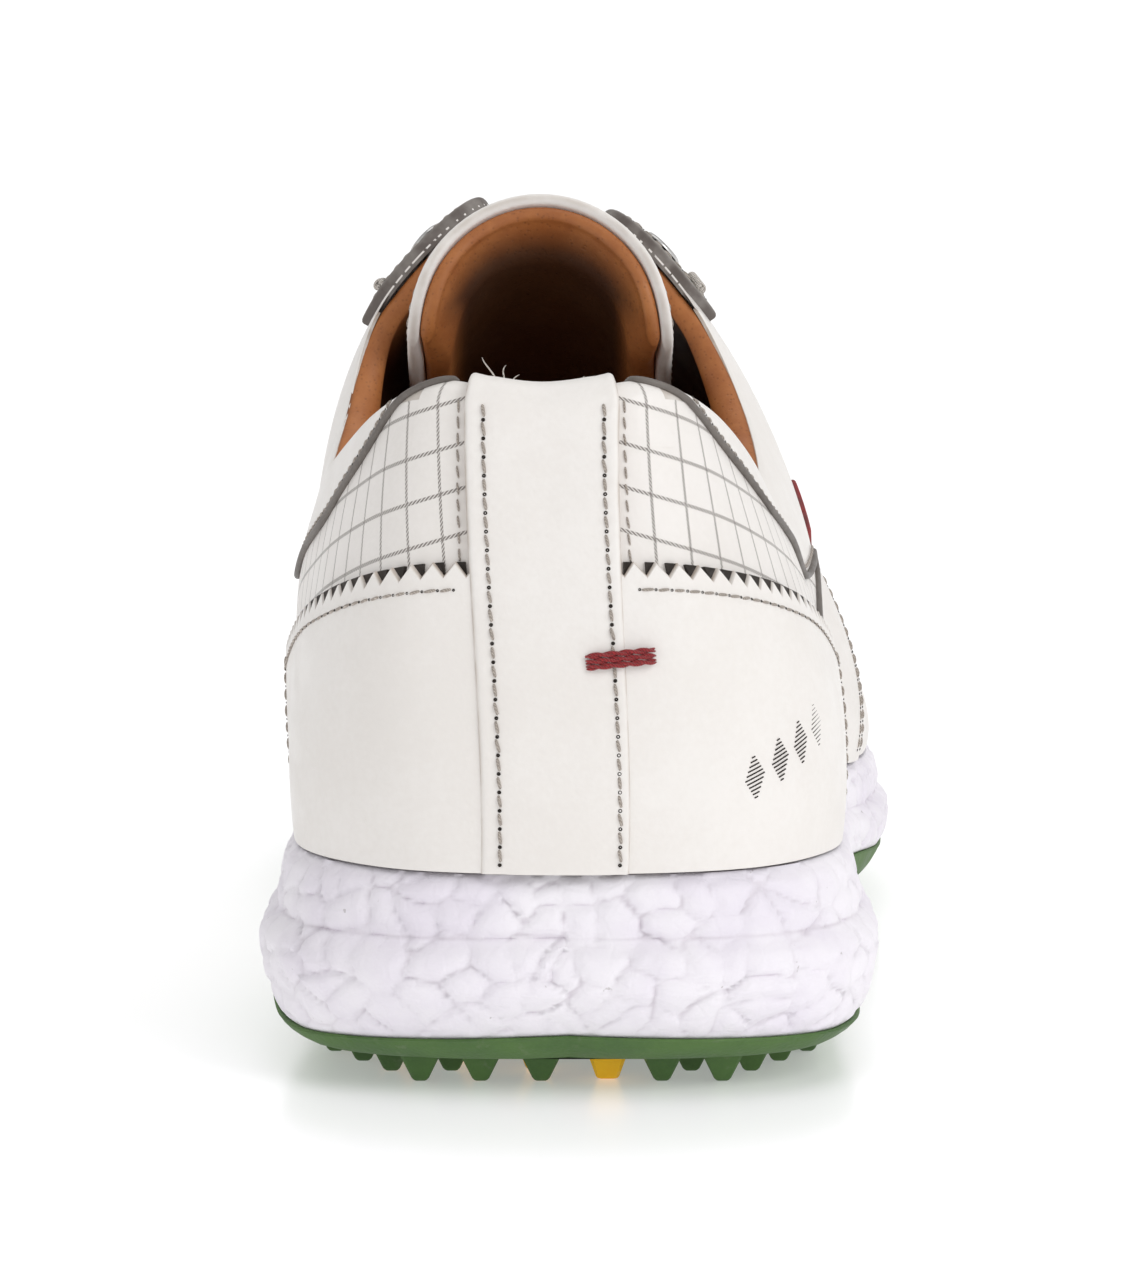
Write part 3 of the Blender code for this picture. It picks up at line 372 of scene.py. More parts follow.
class Look:
    """A node material under construction. Every method returns a socket; a number or a colour can
    stand wherever a socket can."""

    def __init__(self, name):
        self.material = bpy.data.materials.new(name)
        self.material.use_nodes = True
        self.tree = self.material.node_tree
        self.shader = self.tree.nodes["Principled BSDF"]
        self.place = self.node("ShaderNodeTexCoord").outputs["Object"]

    def node(self, kind, values=(), **settings):
        made = self.tree.nodes.new(kind)
        for key, value in settings.items():
            setattr(made, key, value)
        for key, value in dict(values).items():
            self.put(made.inputs[key], value)
        return made

    def put(self, socket, value):
        if isinstance(value, bpy.types.NodeSocket):
            self.tree.links.new(value, socket)
        elif isinstance(value, tuple) and len(value) == 3 and socket.type == "RGBA":
            socket.default_value = (*value, 1.0)
        else:
            socket.default_value = value

    def noise(self, scale, detail=2.0, rough=0.5):
        values = {"Vector": self.place, "Scale": scale, "Detail": detail, "Roughness": rough}
        return self.node("ShaderNodeTexNoise", values).outputs["Fac"]

    def cells(self, scale, feature="F1"):
        values = {"Vector": self.place, "Scale": scale}
        return self.node("ShaderNodeTexVoronoi", values, feature=feature).outputs["Distance"]

    def math(self, operation, a, b=0.0, c=0.0):
        made = self.node("ShaderNodeMath", {0: a, 1: b, 2: c}, operation=operation)
        return made.outputs[0]

    def smooth(self, value, low, high, first=0.0, last=1.0):
        values = {"Value": value, "From Min": low, "From Max": high, "To Min": first, "To Max": last}
        made = self.node("ShaderNodeMapRange", values, interpolation_type="SMOOTHSTEP")
        return made.outputs["Result"]

    def mix(self, share, a, b):
        made = self.node("ShaderNodeMix", data_type="RGBA")
        self.put(made.inputs["Factor"], share)
        self.put(made.inputs[6], a)
        self.put(made.inputs[7], b)
        return made.outputs[2]

    def attribute(self, name):
        return self.node("ShaderNodeAttribute", attribute_name=name).outputs["Fac"]

    def weighed(self, a, of_a, b, of_b):
        return self.math("ADD", self.math("MULTIPLY", a, of_a), self.math("MULTIPLY", b, of_b))

    def bump(self, height, distance, normal=None):
        made = self.node("ShaderNodeBump", {"Height": height, "Distance": distance, "Strength": 1.0})
        if normal is not None:
            self.put(made.inputs["Normal"], normal)
        return made.outputs["Normal"]

    def finish(self, colour, roughness, normal=None, **fixed):
        self.put(self.shader.inputs["Base Color"], colour)
        self.put(self.shader.inputs["Roughness"], roughness)
        if normal is not None:
            self.put(self.shader.inputs["Normal"], normal)
        for key, value in fixed.items():
            self.shader.inputs[key.replace("_", " ")].default_value = value
        return self.material


def leather(name, light, shade, edge, grain=0.05, gloss=0.42, grid=False):
    """Smooth finished leather: fine pebbled grain, slow changes of tone, soiled and darker along cut
    edges. With grid it carries the fine hatched lines of the quarters."""
    look = Look(name)
    cloudy = look.noise(38.0, 4.0, 0.6)
    fine = look.noise(900.0, 2.0)
    tone = look.weighed(cloudy, 0.75, fine, 0.25)
    colour = look.mix(look.smooth(tone, 0.36, 0.66), shade, light)
    rim = look.smooth(look.attribute("edge"), 0.15, 1.0)
    rim = look.math("MULTIPLY", rim, look.smooth(look.noise(220.0, 3.0), 0.3, 0.62, 0.35, 1.0))
    colour = look.mix(rim, colour, edge)
    pebble = look.cells(1350.0, "SMOOTH_F1")
    crease = look.noise(330.0, 5.0, 0.62)
    height = look.weighed(pebble, 0.7, crease, 0.8)
    normal = look.bump(height, grain * MM)
    normal = look.bump(look.noise(70.0, 2.0), 0.35 * MM, normal)
    rough = look.smooth(look.noise(160.0, 3.0), 0.3, 0.7, gloss - 0.05, gloss + 0.1)
    if grid:
        across, up, zone = (look.attribute(key) for key in ("across", "up", "zone"))
        upright = hatched(look, across, up, 5.6, 10.0, 0.16, 0.62)
        level = hatched(look, up, across, 6.4, 83.7, 0.2, 0.72)
        marks = look.math("MULTIPLY", look.math("MAXIMUM", upright, level), zone)
        ink = look.math("MULTIPLY", marks, 0.82)
        colour = look.mix(ink, colour, (0.13, 0.105, 0.09))
        normal = look.bump(look.math("SUBTRACT", 1.0, marks), 0.08 * MM, normal)
    return look.finish(colour, rough, normal, Specular_IOR_Level=0.45)


def hatched(look, value, along, pitch, first, half, stroke):
    """Lines half wide on each side, pitch apart, each made of short slanted strokes."""
    spot = look.math("WRAP", look.math("SUBTRACT", value, first), -pitch / 2, pitch / 2)
    line = look.smooth(look.math("ABSOLUTE", spot), half, half * 1.7, 1.0, 0.0)
    slant = look.math("ADD", along, look.math("MULTIPLY", spot, 1.3))
    beat = look.math("WRAP", slant, 0.0, stroke)
    from_middle = look.math("ABSOLUTE", look.math("SUBTRACT", beat, stroke / 2))
    dash = look.smooth(from_middle, stroke * 0.2, stroke * 0.34, 1.0, 0.15)
    return look.math("MULTIPLY", line, dash)


def tan_leather(name, light, shade):
    """Glazed lining leather with pores, with painted shade that turns it near black deep inside the shoe."""
    look = Look(name)
    cloudy = look.noise(55.0, 5.0, 0.62)
    streak = look.noise(260.0, 4.0, 0.7)
    tone = look.weighed(cloudy, 0.7, streak, 0.3)
    colour = look.mix(look.smooth(tone, 0.35, 0.66), shade, light)
    pores = look.smooth(look.cells(1100.0), 0.0, 0.35)
    pitted = look.math("MULTIPLY", look.math("SUBTRACT", 1.0, pores), 0.35)
    colour = look.mix(pitted, colour, (0.10, 0.035, 0.012))
    rim = look.smooth(look.attribute("edge"), 0.1, 1.0)
    colour = look.mix(look.math("MULTIPLY", rim, 0.6), colour, (0.07, 0.025, 0.012))
    # Painted shade: the deep attribute darkens the lining towards near black inside the shoe.
    painted_shade = look.math("MULTIPLY", look.attribute("deep"), 0.9)
    colour = look.mix(painted_shade, colour, (0.018, 0.009, 0.006))
    height = look.math("ADD", look.math("MULTIPLY", pores, 0.5), look.noise(420.0, 5.0, 0.65))
    normal = look.bump(height, 0.09 * MM)
    rough = look.smooth(look.noise(120.0, 3.0), 0.3, 0.7, 0.42, 0.6)
    return look.finish(colour, rough, normal, Specular_IOR_Level=0.4)


def thread_look(name, light, shade):
    """Plied thread: fine slanted twist and a little fuzz."""
    look = Look(name)
    wave = look.node(
        "ShaderNodeTexWave",
        {"Vector": look.place, "Scale": 1300.0, "Distortion": 2.5, "Detail": 2.0},
        bands_direction="DIAGONAL",
    ).outputs["Fac"]
    fuzz = look.noise(1800.0, 3.0)
    colour = look.mix(look.math("MULTIPLY", wave, look.smooth(fuzz, 0.3, 0.7, 0.6, 1.0)), shade, light)
    normal = look.bump(look.math("ADD", wave, fuzz), 0.12 * MM)
    return look.finish(colour, look.smooth(fuzz, 0.3, 0.7, 0.6, 0.8), normal, Sheen_Weight=0.25)


def foam_look():
    """Moulded foam of the midsole: a smooth skin, faint lavender, darker in patches down in the cracks and
    the step.
    """
    look = Look("midsole_foam")
    deep = look.attribute("crack")
    cloudy = look.noise(45.0, 4.0, 0.6)
    colour = look.mix(look.smooth(cloudy, 0.32, 0.68), (0.80, 0.755, 0.83), (0.88, 0.85, 0.895))
    patchy = look.smooth(look.noise(140.0, 4.0), 0.35, 0.7, 0.25, 0.8)
    crack_darkening = look.math("MULTIPLY", look.smooth(deep, 0.25, 1.0), patchy)
    colour = look.mix(crack_darkening, colour, (0.60, 0.545, 0.60))
    speck = look.smooth(look.noise(620.0, 2.0), 0.735, 0.78)
    colour = look.mix(look.math("MULTIPLY", speck, 0.5), colour, (0.35, 0.31, 0.3))
    small = look.smooth(look.cells(330.0, "DISTANCE_TO_EDGE"), 0.0, 0.14)
    height = look.math("ADD", look.math("MULTIPLY", small, 0.22), look.noise(520.0, 4.0, 0.6))
    normal = look.bump(height, 0.14 * MM)
    return look.finish(colour, look.smooth(cloudy, 0.3, 0.7, 0.5, 0.62), normal)


def rubber_look(name, light, shade, dust):
    """Moulded rubber with a fine spark-eroded texture, dusty on raised and rubbed places."""
    look = Look(name)
    cloudy = look.noise(70.0, 4.0, 0.6)
    colour = look.mix(look.smooth(cloudy, 0.35, 0.65), shade, light)
    spots = look.smooth(look.noise(340.0, 4.0, 0.65), 0.58, 0.75)
    colour = look.mix(look.math("MULTIPLY", spots, 0.35), colour, dust)
    texture = look.cells(1300.0, "SMOOTH_F1")
    normal = look.bump(look.math("ADD", texture, look.noise(900.0, 3.0)), 0.09 * MM)
    rough = look.smooth(cloudy, 0.3, 0.7, 0.48, 0.66)
    return look.finish(colour, rough, normal, Specular_IOR_Level=0.4)


def plain_look(name, light, shade, scale, rough, distance, metallic=0.0):
    """Board, padding, nylon or metal: two tones of noise and a matching bump."""
    look = Look(name)
    speck = look.noise(scale, 5.0, 0.65)
    colour = look.mix(look.smooth(speck, 0.35, 0.65), shade, light)
    normal = look.bump(speck, distance * MM)
    rough = look.smooth(speck, 0.3, 0.7, rough - 0.06, rough + 0.08)
    return look.finish(colour, rough, normal, Metallic=metallic)


WHITE = leather("white_leather", (0.84, 0.805, 0.775), (0.80, 0.765, 0.73), (0.50, 0.43, 0.37), grid=True)
SMOOTH_WHITE = leather("smooth_leather", (0.85, 0.82, 0.79), (0.81, 0.775, 0.74), (0.48, 0.41, 0.35))
GREY = leather("grey_leather", (0.36, 0.335, 0.31), (0.26, 0.24, 0.22), (0.12, 0.10, 0.09), 0.09, 0.5)
PIPING = leather("grey_piping", (0.165, 0.145, 0.13), (0.11, 0.095, 0.085), (0.06, 0.05, 0.045), 0.05, 0.48)
TAN = tan_leather("tan_lining", (0.46, 0.17, 0.048), (0.33, 0.105, 0.028))
DARK = (0.02, 0.015, 0.012)
UNDERLAY = leather("dark_underlay", (0.035, 0.026, 0.021), DARK, DARK, 0.09, 0.6)
RED = leather("red_accent", (0.42, 0.018, 0.02), (0.33, 0.012, 0.015), (0.12, 0.01, 0.01), 0.06, 0.42)
RED_THREAD = thread_look("red_thread", (0.42, 0.014, 0.018), (0.20, 0.005, 0.008))
THREAD = thread_look("white_thread", (0.56, 0.50, 0.44), (0.34, 0.29, 0.25))
PALE_THREAD = thread_look("pale_thread", (0.78, 0.74, 0.69), (0.55, 0.5, 0.45))
HOLE = plain_look("needle_hole", (0.035, 0.026, 0.02), (0.015, 0.011, 0.009), 2000.0, 0.9, 0.05)
FOAM = foam_look()
GREEN = rubber_look("green_rubber", (0.082, 0.165, 0.042), (0.056, 0.125, 0.030), (0.19, 0.23, 0.14))
YELLOW = rubber_look("yellow_rubber", (0.95, 0.56, 0.014), (0.88, 0.48, 0.010), (0.9, 0.68, 0.25))
BOARD = plain_look("board", (0.55, 0.46, 0.34), (0.42, 0.34, 0.24), 700.0, 0.85, 0.12)
PADDING = plain_look("padding", (0.62, 0.6, 0.5), (0.5, 0.47, 0.38), 1500.0, 0.92, 0.25)
NYLON = plain_look("shank_nylon", (0.04, 0.04, 0.045), (0.02, 0.02, 0.024), 1200.0, 0.42, 0.04)
METAL = plain_look("eyelet_metal", (0.62, 0.61, 0.6), (0.5, 0.49, 0.48), 900.0, 0.3, 0.02, 1.0)


# ---------------------------------------------------------------- building pieces


def build(name, points, faces, look, body, stands_for=(), sharp=None, values=None):
    """A piece from millimetre points, riding on a body. values holds named numbers for its material."""
    mesh = bpy.data.meshes.new(name)
    mesh.from_pydata(world(points).tolist(), [], [tuple(int(i) for i in face) for face in faces])
    mesh.materials.append(look)
    mesh.shade_smooth()
    if sharp:
        mesh.set_sharp_from_angle(angle=math.radians(sharp))
    for key, numbers in (values or {}).items():
        made = mesh.attributes.new(key, "FLOAT", "POINT")
        made.data.foreach_set("value", np.asarray(numbers, np.float32).ravel())
    obj = bpy.data.objects.new(name, mesh)
    bpy.context.scene.collection.objects.link(obj)
    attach(obj, body)
    if stands_for:
        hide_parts(*stands_for)
    return obj


def grid_faces(columns, rows, first=0, wrap=False, flip=False):
    count = columns if wrap else columns - 1
    i, j = np.meshgrid(np.arange(count), np.arange(rows - 1), indexing="ij")
    a = first + i * rows + j
    b = first + ((i + 1) % columns) * rows + j
    faces = np.stack([a, b, b + 1, a + 1], axis=-1).reshape(-1, 4)
    return faces[:, ::-1] if flip else faces


def edge_distances(points):
    """How far each point of a grid is from its first and last column and its first and last row."""
    across = np.linalg.norm(np.diff(points, axis=0), axis=-1)
    climb = np.linalg.norm(np.diff(points, axis=1), axis=-1)
    run = np.concatenate([np.zeros((1, points.shape[1])), np.cumsum(across, axis=0)])
    rise = np.concatenate([np.zeros((points.shape[0], 1)), np.cumsum(climb, axis=1)], axis=1)
    return run, run[-1:] - run, rise, rise[:, -1:] - rise


def bands(rings, sides):
    """Faces between rings of points that follow one another."""
    turn = [(j, (j + 1) % sides) for j in range(sides)]
    starts = [ring * sides for ring in range(rings - 1)]
    return [(k + a, k + b, k + b + sides, k + a + sides) for k in starts for a, b in turn]


def away_from(holes, reach, points, faces):
    """The faces whose centres are farther than reach from every hole."""
    centre = points.reshape(-1, 3)[faces].mean(axis=1)
    far = np.min(np.linalg.norm(centre[:, None] - np.array(holes)[None], axis=-1), axis=1)
    return faces[far > reach]


def fine_steps(length, pitch, near=(0.0, 0.12, 0.35, 0.7, 1.2, 2.2), ends=(True, True)):
    """Shares from 0 to 1 along a length in millimetres, closer together at the rounded ends."""
    count = max(3, int(round(length / pitch)) + 1)
    inner = np.linspace(0, 1, count)
    close = np.array(near) / length
    close = close[close < 0.45]
    first, last = (close[-1] if ends[0] else -1), (1 - close[-1] if ends[1] else 2)
    parts = [inner[(inner > first) & (inner < last)]]
    if ends[0]:
        parts.insert(0, close)
    if ends[1]:
        parts.append(1 - close[::-1])
    return np.unique(np.round(np.concatenate(parts), 7))


def unevenness(s, t, size, seed):
    """Slow, shallow ups and downs of stretched leather."""
    waves = np.random.default_rng(seed).uniform(-1, 1, (9, 4))
    total = 0.0
    for kx, ky, phase, weight in waves:
        total = total + weight * np.sin(2.3 * kx * s * 3.1 + 13 * ky * t + 6.28 * phase)
    return size * total / 3


def panel(
    name, u_of, t_of, size, look, side=1, face=0.0, drop=1.2, round_over=0.7, pitch=2.6, wave=0.12,
    rolled=None, stands_for=(), sides=(True, True, True, True), holes=(), seed=1,
    zone=None,
):
    """A piece of leather on the upper, over a and b from 0 to 1: u_of(a, b) gives the rib, t_of(u, b)
    the height, face the height above the skin. Its edges are rounded over and end in a skirt drop
    deep. sides says which of the first and last column and row are cut edges. rolled, in degrees,
    carries the top over the rim: a number, or a function of the rib. zone says where lines are drawn."""
    long, high = size
    sides = (*sides[:3], sides[3] and rolled is None)
    a = fine_steps(long, pitch, ends=sides[:2])
    b = fine_steps(high, pitch, ends=sides[2:])
    grid_a, grid_b = np.meshgrid(a, b, indexing="ij")
    u = u_of(grid_a, grid_b)
    for _ in range(3):
        t = t_of(u, grid_b)
        u = u_of(grid_a, t)
    t = t_of(u, grid_b)
    s = rib_of(u, side)
    if rolled is not None:
        limit = rim_start(u)
        low = t_of(u, np.zeros_like(grid_b))
        t = low + (limit - low) * grid_b
    base = skin(s, t)
    gaps = edge_distances(base)
    far = np.full(gaps[0].shape, 99.0)
    distance = np.minimum.reduce([gap if cut else far for gap, cut in zip(gaps, sides)])
    height = face(u, t) if callable(face) else np.full(s.shape, float(face))
    ease = 1 - np.clip(distance / round_over, 0, 1)
    height = height - round_over * (1 - np.sqrt(np.clip(1 - ease**2, 0, 1)))
    height = height + unevenness(s, t, wave, seed) * np.clip(distance / 6, 0, 1)
    points = base + skin_normal(s, t) * height[..., None]
    edge = np.exp(-distance / 0.55)
    across = gaps[0] + 0.6
    up = points[..., 2] + 0.30 * (across - BACKSTAY_HALF_WIDTH)
    inside = np.ones(s.shape) if zone is None else zone(u, t)
    columns = [points, *(x[..., None] for x in (edge, across, up, inside))]
    data = np.concatenate(columns, axis=-1)
    if rolled is not None:
        angle = rolled(u[:, -1]) if callable(rolled) else np.full(len(u), float(rolled))
        turn = np.radians(angle[:, None] * np.linspace(0, 1, 15)[None, 1:])
        lip = roll(s[:, -1], turn, height[:, -1], u[:, -1])
        last = np.repeat(data[:, -1:, 3:], turn.shape[1], axis=1)
        last[..., 2] += lip[..., 2] - data[:, -1:, 2]
        last[:, -1, 0] = 1.0
        data = np.concatenate([data, np.concatenate([lip, last], axis=-1)], axis=1)
    columns, rows = data.shape[:2]
    faces = grid_faces(columns, rows)
    if holes:
        faces = away_from(holes, 2.3, data[..., :3], faces)
    rim = np.concatenate([
        np.arange(columns) * rows,
        (columns - 1) * rows + np.arange(1, rows),
        np.arange(columns - 2, -1, -1) * rows + rows - 1,
        np.arange(rows - 2, 0, -1),
    ])
    flat = data.reshape(-1, data.shape[-1])
    normals = skin_normal(s, t)
    if rolled is not None:
        more = np.repeat(normals[:, -1:], rows - normals.shape[1], axis=1)
        normals = np.concatenate([normals, more], axis=1)
    skirt = flat[rim].copy()
    skirt[:, :3] -= normals.reshape(-1, 3)[rim] * (drop - min(round_over, drop * 0.9))
    count = len(flat)
    ring = np.arange(len(rim))
    skirt_faces = np.stack([rim, count + ring, count + np.roll(ring, -1), np.roll(rim, -1)], axis=-1)
    data = np.concatenate([flat, skirt])
    faces = np.concatenate([faces, skirt_faces])
    if side < 0:
        faces = faces[:, ::-1]
    values = dict(zip(("edge", "across", "up", "zone"), data[:, 3:].T))
    return build(name, data[:, :3], faces, look, "shoe", stands_for, 50, values)


def rim_start(u):
    """The height at which the collar's padded roll starts."""
    height = rim_height(u)
    s = np.asarray(u, float)
    rise = np.linalg.norm(skin(s, np.ones_like(s)) - skin(s, np.full_like(s, 0.96)), axis=-1) / 0.04
    return 1 - height / rise


def rim_height(u):
    return np.interp(u, [0.0, 4.6, 5.9], [3.4, 3.4, 1.6])


def roll(s, turn, face, u):
    """Points over the rim of the collar, from the outer face (turn 0) to the lining's (turn pi)."""
    start = rim_start(u)
    base = skin(s, start)
    climb = top_edge(s) - base
    normal = skin_normal(s, start)
    low = LINING_INNER - COLLAR_PAD * pad(u, np.ones_like(u))
    half = (face - low) / 2
    turn = np.atleast_2d(turn)
    sine, cosine = np.sin(turn)[..., None], np.cos(turn)[..., None]
    lift = 1 + (face[:, None, None] * 0.22)
    depth = (face - half)[:, None, None] + half[:, None, None] * cosine
    return base[:, None] + climb[:, None] * sine * lift + normal[:, None] * depth


# ---------------------------------------------------------------- stitches


def capsule(length, radius, sides=6):
    """Points and faces of one stitch: a rounded bar along x, arched up in the middle."""
    along = np.array([-0.5, -0.42, -0.2, 0.0, 0.2, 0.42, 0.5]) * length
    thick = np.array([0.25, 0.8, 1.0, 1.05, 1.0, 0.8, 0.25]) * radius
    lift = np.array([-0.55, -0.1, 0.25, 0.35, 0.25, -0.1, -0.55]) * radius
    turn = np.linspace(0, 2 * math.pi, sides, endpoint=False)
    rings = zip(along, thick, lift)
    points = [(x, r * math.cos(w), z + r * math.sin(w)) for x, r, z in rings for w in turn]
    faces = bands(len(along), sides)
    faces.append(tuple(range(sides))[::-1])
    last = (len(along) - 1) * sides
    faces.append(tuple(last + j for j in range(sides)))
    return np.array(points), faces


def frames_along(points, normals, pitch, phase=0.5):
    """Evenly spaced places along a line: centres, directions, sideways directions and normals."""

    def sample(values, places):
        return np.stack([np.interp(places, run, values[:, k]) for k in range(3)], axis=-1)

    run = run_along(points)
    count = max(1, int(run[-1] / pitch))
    at = (np.arange(count) + phase) * run[-1] / count
    up = unit(sample(normals, at))
    side = unit(np.cross(up, unit(sample(points, at + 0.4) - sample(points, at - 0.4))))
    return sample(points, at), unit(np.cross(side, up)), side, up


class Sewing:
    """Collects the stitches and needle holes of one thread into two pieces."""

    def __init__(self):
        self.parts = {}

    def add(self, name, points, faces):
        store = self.parts.setdefault(name, ([], [], [0]))
        store[0].append(points)
        store[1].extend(tuple(i + store[2][0] for i in face) for face in faces)
        store[2][0] += len(points)

    def row(
        self, points, normals, pitch=2.6, radius=0.27, fill=0.74, slant=0.1, holes=0.24, name="stitches"
    ):
        spot, ahead, side, up = frames_along(points, normals, pitch)
        shape, faces = capsule(pitch * fill, radius)
        for k in range(len(spot)):
            turn = slant + RNG.normal(0, 0.04)
            x = ahead[k] * math.cos(turn) + side[k] * math.sin(turn)
            y = side[k] * math.cos(turn) - ahead[k] * math.sin(turn)
            stretch = 1 + RNG.normal(0, 0.05)
            stitch = spot[k] + shape[:, :1] * x * stretch + shape[:, 1:2] * y + shape[:, 2:] * up[k]
            self.add(name, stitch, faces)
        if not holes:
            return
        spot, ahead, side, up = frames_along(points, normals, pitch, 0.0)
        sides = 7
        ring = np.linspace(0, 2 * math.pi, sides, endpoint=False)
        rings = ((holes * 1.15, 0.17), (holes, 0.2), (holes * 0.5, 0.1))
        floor = [(2 * sides + i, 2 * sides + (i + 1) % sides, 3 * sides) for i in range(sides)]
        faces = bands(len(rings), sides) + floor
        for k in range(len(spot)):
            low = spot[k] - up[k] * 0.12
            cup = [
                low + ahead[k] * r * math.cos(w) + side[k] * r * math.sin(w) + up[k] * z
                for r, z in rings
                for w in ring
            ]
            self.add("needle_holes", np.array([*cup, low]), faces)

    def on_skin(self, u, t, side, offset, **options):
        s = rib_of(np.asarray(u, float), side)
        self.row(layer(s, t, np.full(s.shape, float(offset))), skin_normal(s, t), **options)


def tube(points, radius, sides=10, close=True):
    """A round bar along points. radius can be one number or one for each point."""
    points = np.asarray(points, float)
    ahead = unit(np.gradient(points, axis=0))
    side = np.zeros_like(points)
    start = np.array([0.0, 0.0, 1.0]) if abs(ahead[0][2]) < 0.9 else np.array([1.0, 0.0, 0.0])
    side[0] = unit(np.cross(ahead[0], start))
    for k in range(1, len(points)):
        side[k] = unit(side[k - 1] - ahead[k] * (side[k - 1] @ ahead[k]))
    other = np.cross(ahead, side)
    turn = np.linspace(0, 2 * math.pi, sides, endpoint=False)
    radius = np.broadcast_to(np.asarray(radius, float), (len(points),))
    ring = points[:, None] + radius[:, None, None] * (
        side[:, None] * np.cos(turn)[None, :, None] + other[:, None] * np.sin(turn)[None, :, None]
    )
    faces = bands(len(points), sides)
    if close:
        faces.append(tuple(range(sides))[::-1])
        faces.append(tuple((len(points) - 1) * sides + j for j in range(sides)))
    return ring.reshape(-1, 3), faces


def joined(parts):
    """Several pieces' points and faces as one piece's."""
    points, faces, count = [], [], 0
    for part_points, part_faces in parts:
        points.append(np.asarray(part_points, float))
        faces.extend(tuple(i + count for i in face) for face in part_faces)
        count += len(part_points)
    return np.concatenate(points), faces


# ---------------------------------------------------------------- upper


SEWING = Sewing()


def value(rule, at):
    return rule(at) if callable(rule) else rule


def between(first, last):
    """The rib across a panel, whose ends are numbers or functions of the height."""
    return lambda a, t: value(first, t) + a * (value(last, t) - value(first, t))


def climbing(low, high):
    """The height up a panel, whose ends are numbers or functions of the rib."""
    return lambda u, b: value(low, u) + b * (value(high, u) - value(low, u))


def eyelet_places(side):
    """The rib and the height of each eyelet, a fixed way down from the top edge."""
    places = []
    for u in EYELET_RIBS:
        s = rib_of(u, side)
        heights = np.linspace(0.6, 1, 81)
        path = skin(np.full(81, s), heights)
        run = np.linalg.norm(np.diff(path, axis=0), axis=1)[::-1].cumsum()[::-1]
        t = float(np.interp(-EYELET_FROM_EDGE, -run, heights[:-1]))
        places.append((s, t))
    return places


def grid_zone(u, t):
    """Where the fine lines are: behind the stripe, from the pinked edge up to the piping."""
    ahead = np.clip((4.2 + 1.6 * t - u) / 0.15, 0, 1)
    return ahead * np.clip((t - pinked_line(np.minimum(u, 3.3)) + 0.05) / 0.04, 0, 1)


def overlap_at_seam(u, t):
    """The quarter lies over the vamp at the seam, so it lifts there."""
    return np.clip((u - vamp_seam(t) + 0.75) / 0.5, 0, 1)


def front_edge(t):
    """The quarter's front edge, over the vamp's."""
    return vamp_seam(t) + 0.14


def make_quarters():
    """The white shell below the piping, with two rows of stitches at its front edge."""

    def top(u):
        return np.minimum(piping_line(u), rim_start(u) + 0.004)

    for side, word in SIDES:
        panel(
            "quarter_shell_" + word, between(0.03, front_edge), climbing(0.0, top), (205, 80), WHITE, side,
            face=overlap_at_seam, drop=1.0, pitch=2.4, wave=0.10,
            stands_for=["quarter_" + word], sides=(False, True, False, False), seed=3 + side,
            zone=grid_zone,
        )
        t = np.linspace(0.03, 0.985, 70)
        for back in (0.10, 0.22):
            SEWING.on_skin(front_edge(t) - back, t, side, 1.02, pitch=2.4, radius=0.24)


def make_heel_rims():
    """The strip of grid leather over the rim between the backstay and the piping."""
    for side, word in SIDES:
        panel(
            "heel_rim_" + word, between(0.03, 1.08), lambda u, b: 0.86 + 0.14 * b, (19, 12), WHITE, side,
            face=0.02, pitch=1.6, wave=0.0, rolled=118,
            sides=(False, False, False, False), seed=4, zone=grid_zone,
        )


def collar_roll(u):
    """How far, in degrees, the white leather goes over the rim: to its top round the heel, and only
    to its outer corner ahead of the lowest point."""
    return np.interp(u, [0.0, 3.5, 4.2, 6.0], [104.0, 104.0, 28.0, 28.0])


def make_collars():
    """The smooth band above the piping: rolled over the rim, and open round the eyelets ahead."""

    def bottom(u):
        return np.minimum(piping_line(u), rim_start(u) - 0.003)

    def face(u, t):
        return 0.12 + overlap_at_seam(u, t)

    for side, word in SIDES:
        panel(
            "collar_shell_" + word, between(0.98, 5.93), climbing(bottom, 1.0), (118, 22), SMOOTH_WHITE,
            side, face=face, pitch=1.8, wave=0.12, rolled=collar_roll,
            stands_for=["collar_panel_" + word], sides=(False, False, True, False), seed=6,
        )
        holes = [layer(s, t, np.array(0.0)) for s, t in eyelet_places(side)]
        panel(
            "collar_front_" + word, between(5.9, front_edge), climbing(piping_line, 1.0), (95, 40),
            SMOOTH_WHITE, side, face=face, drop=1.0, pitch=1.9, wave=0.12, sides=(False, True, True, False),
            holes=holes, seed=6,
        )
        u = np.linspace(1.5, 8.3 if side < 0 else 5.0, 220)
        t = np.minimum(piping_line(u) + 0.026, 0.985)
        SEWING.on_skin(u, t, side, 0.4, pitch=2.3, radius=0.22, holes=0.2)


def tooth(distance, pitch):
    """A zigzag from 0 in the notches to 1 at the tips."""
    return 1 - np.abs((distance / pitch) % 1 * 2 - 1)


TOOTH_PITCH = 3.1
TOOTH_HIGH = 2.1
COUNTER_HEIGHT = 0.62


def counter_top(side):
    """The pinked line of a counter panel as fine samples: rib, height, distance along it, and the
    millimetres that a height of 1 makes there."""
    first = float(strip_edge(COUNTER_HEIGHT, side)) - 0.12
    u = np.linspace(first, 3.3, 1200)
    t = pinked_line(u)
    path = skin(rib_of(u, side), t)
    run = run_along(path)
    rise = np.linalg.norm(skin(rib_of(u, side), t + 0.02) - path, axis=-1) / 0.02
    return u, t, run, rise


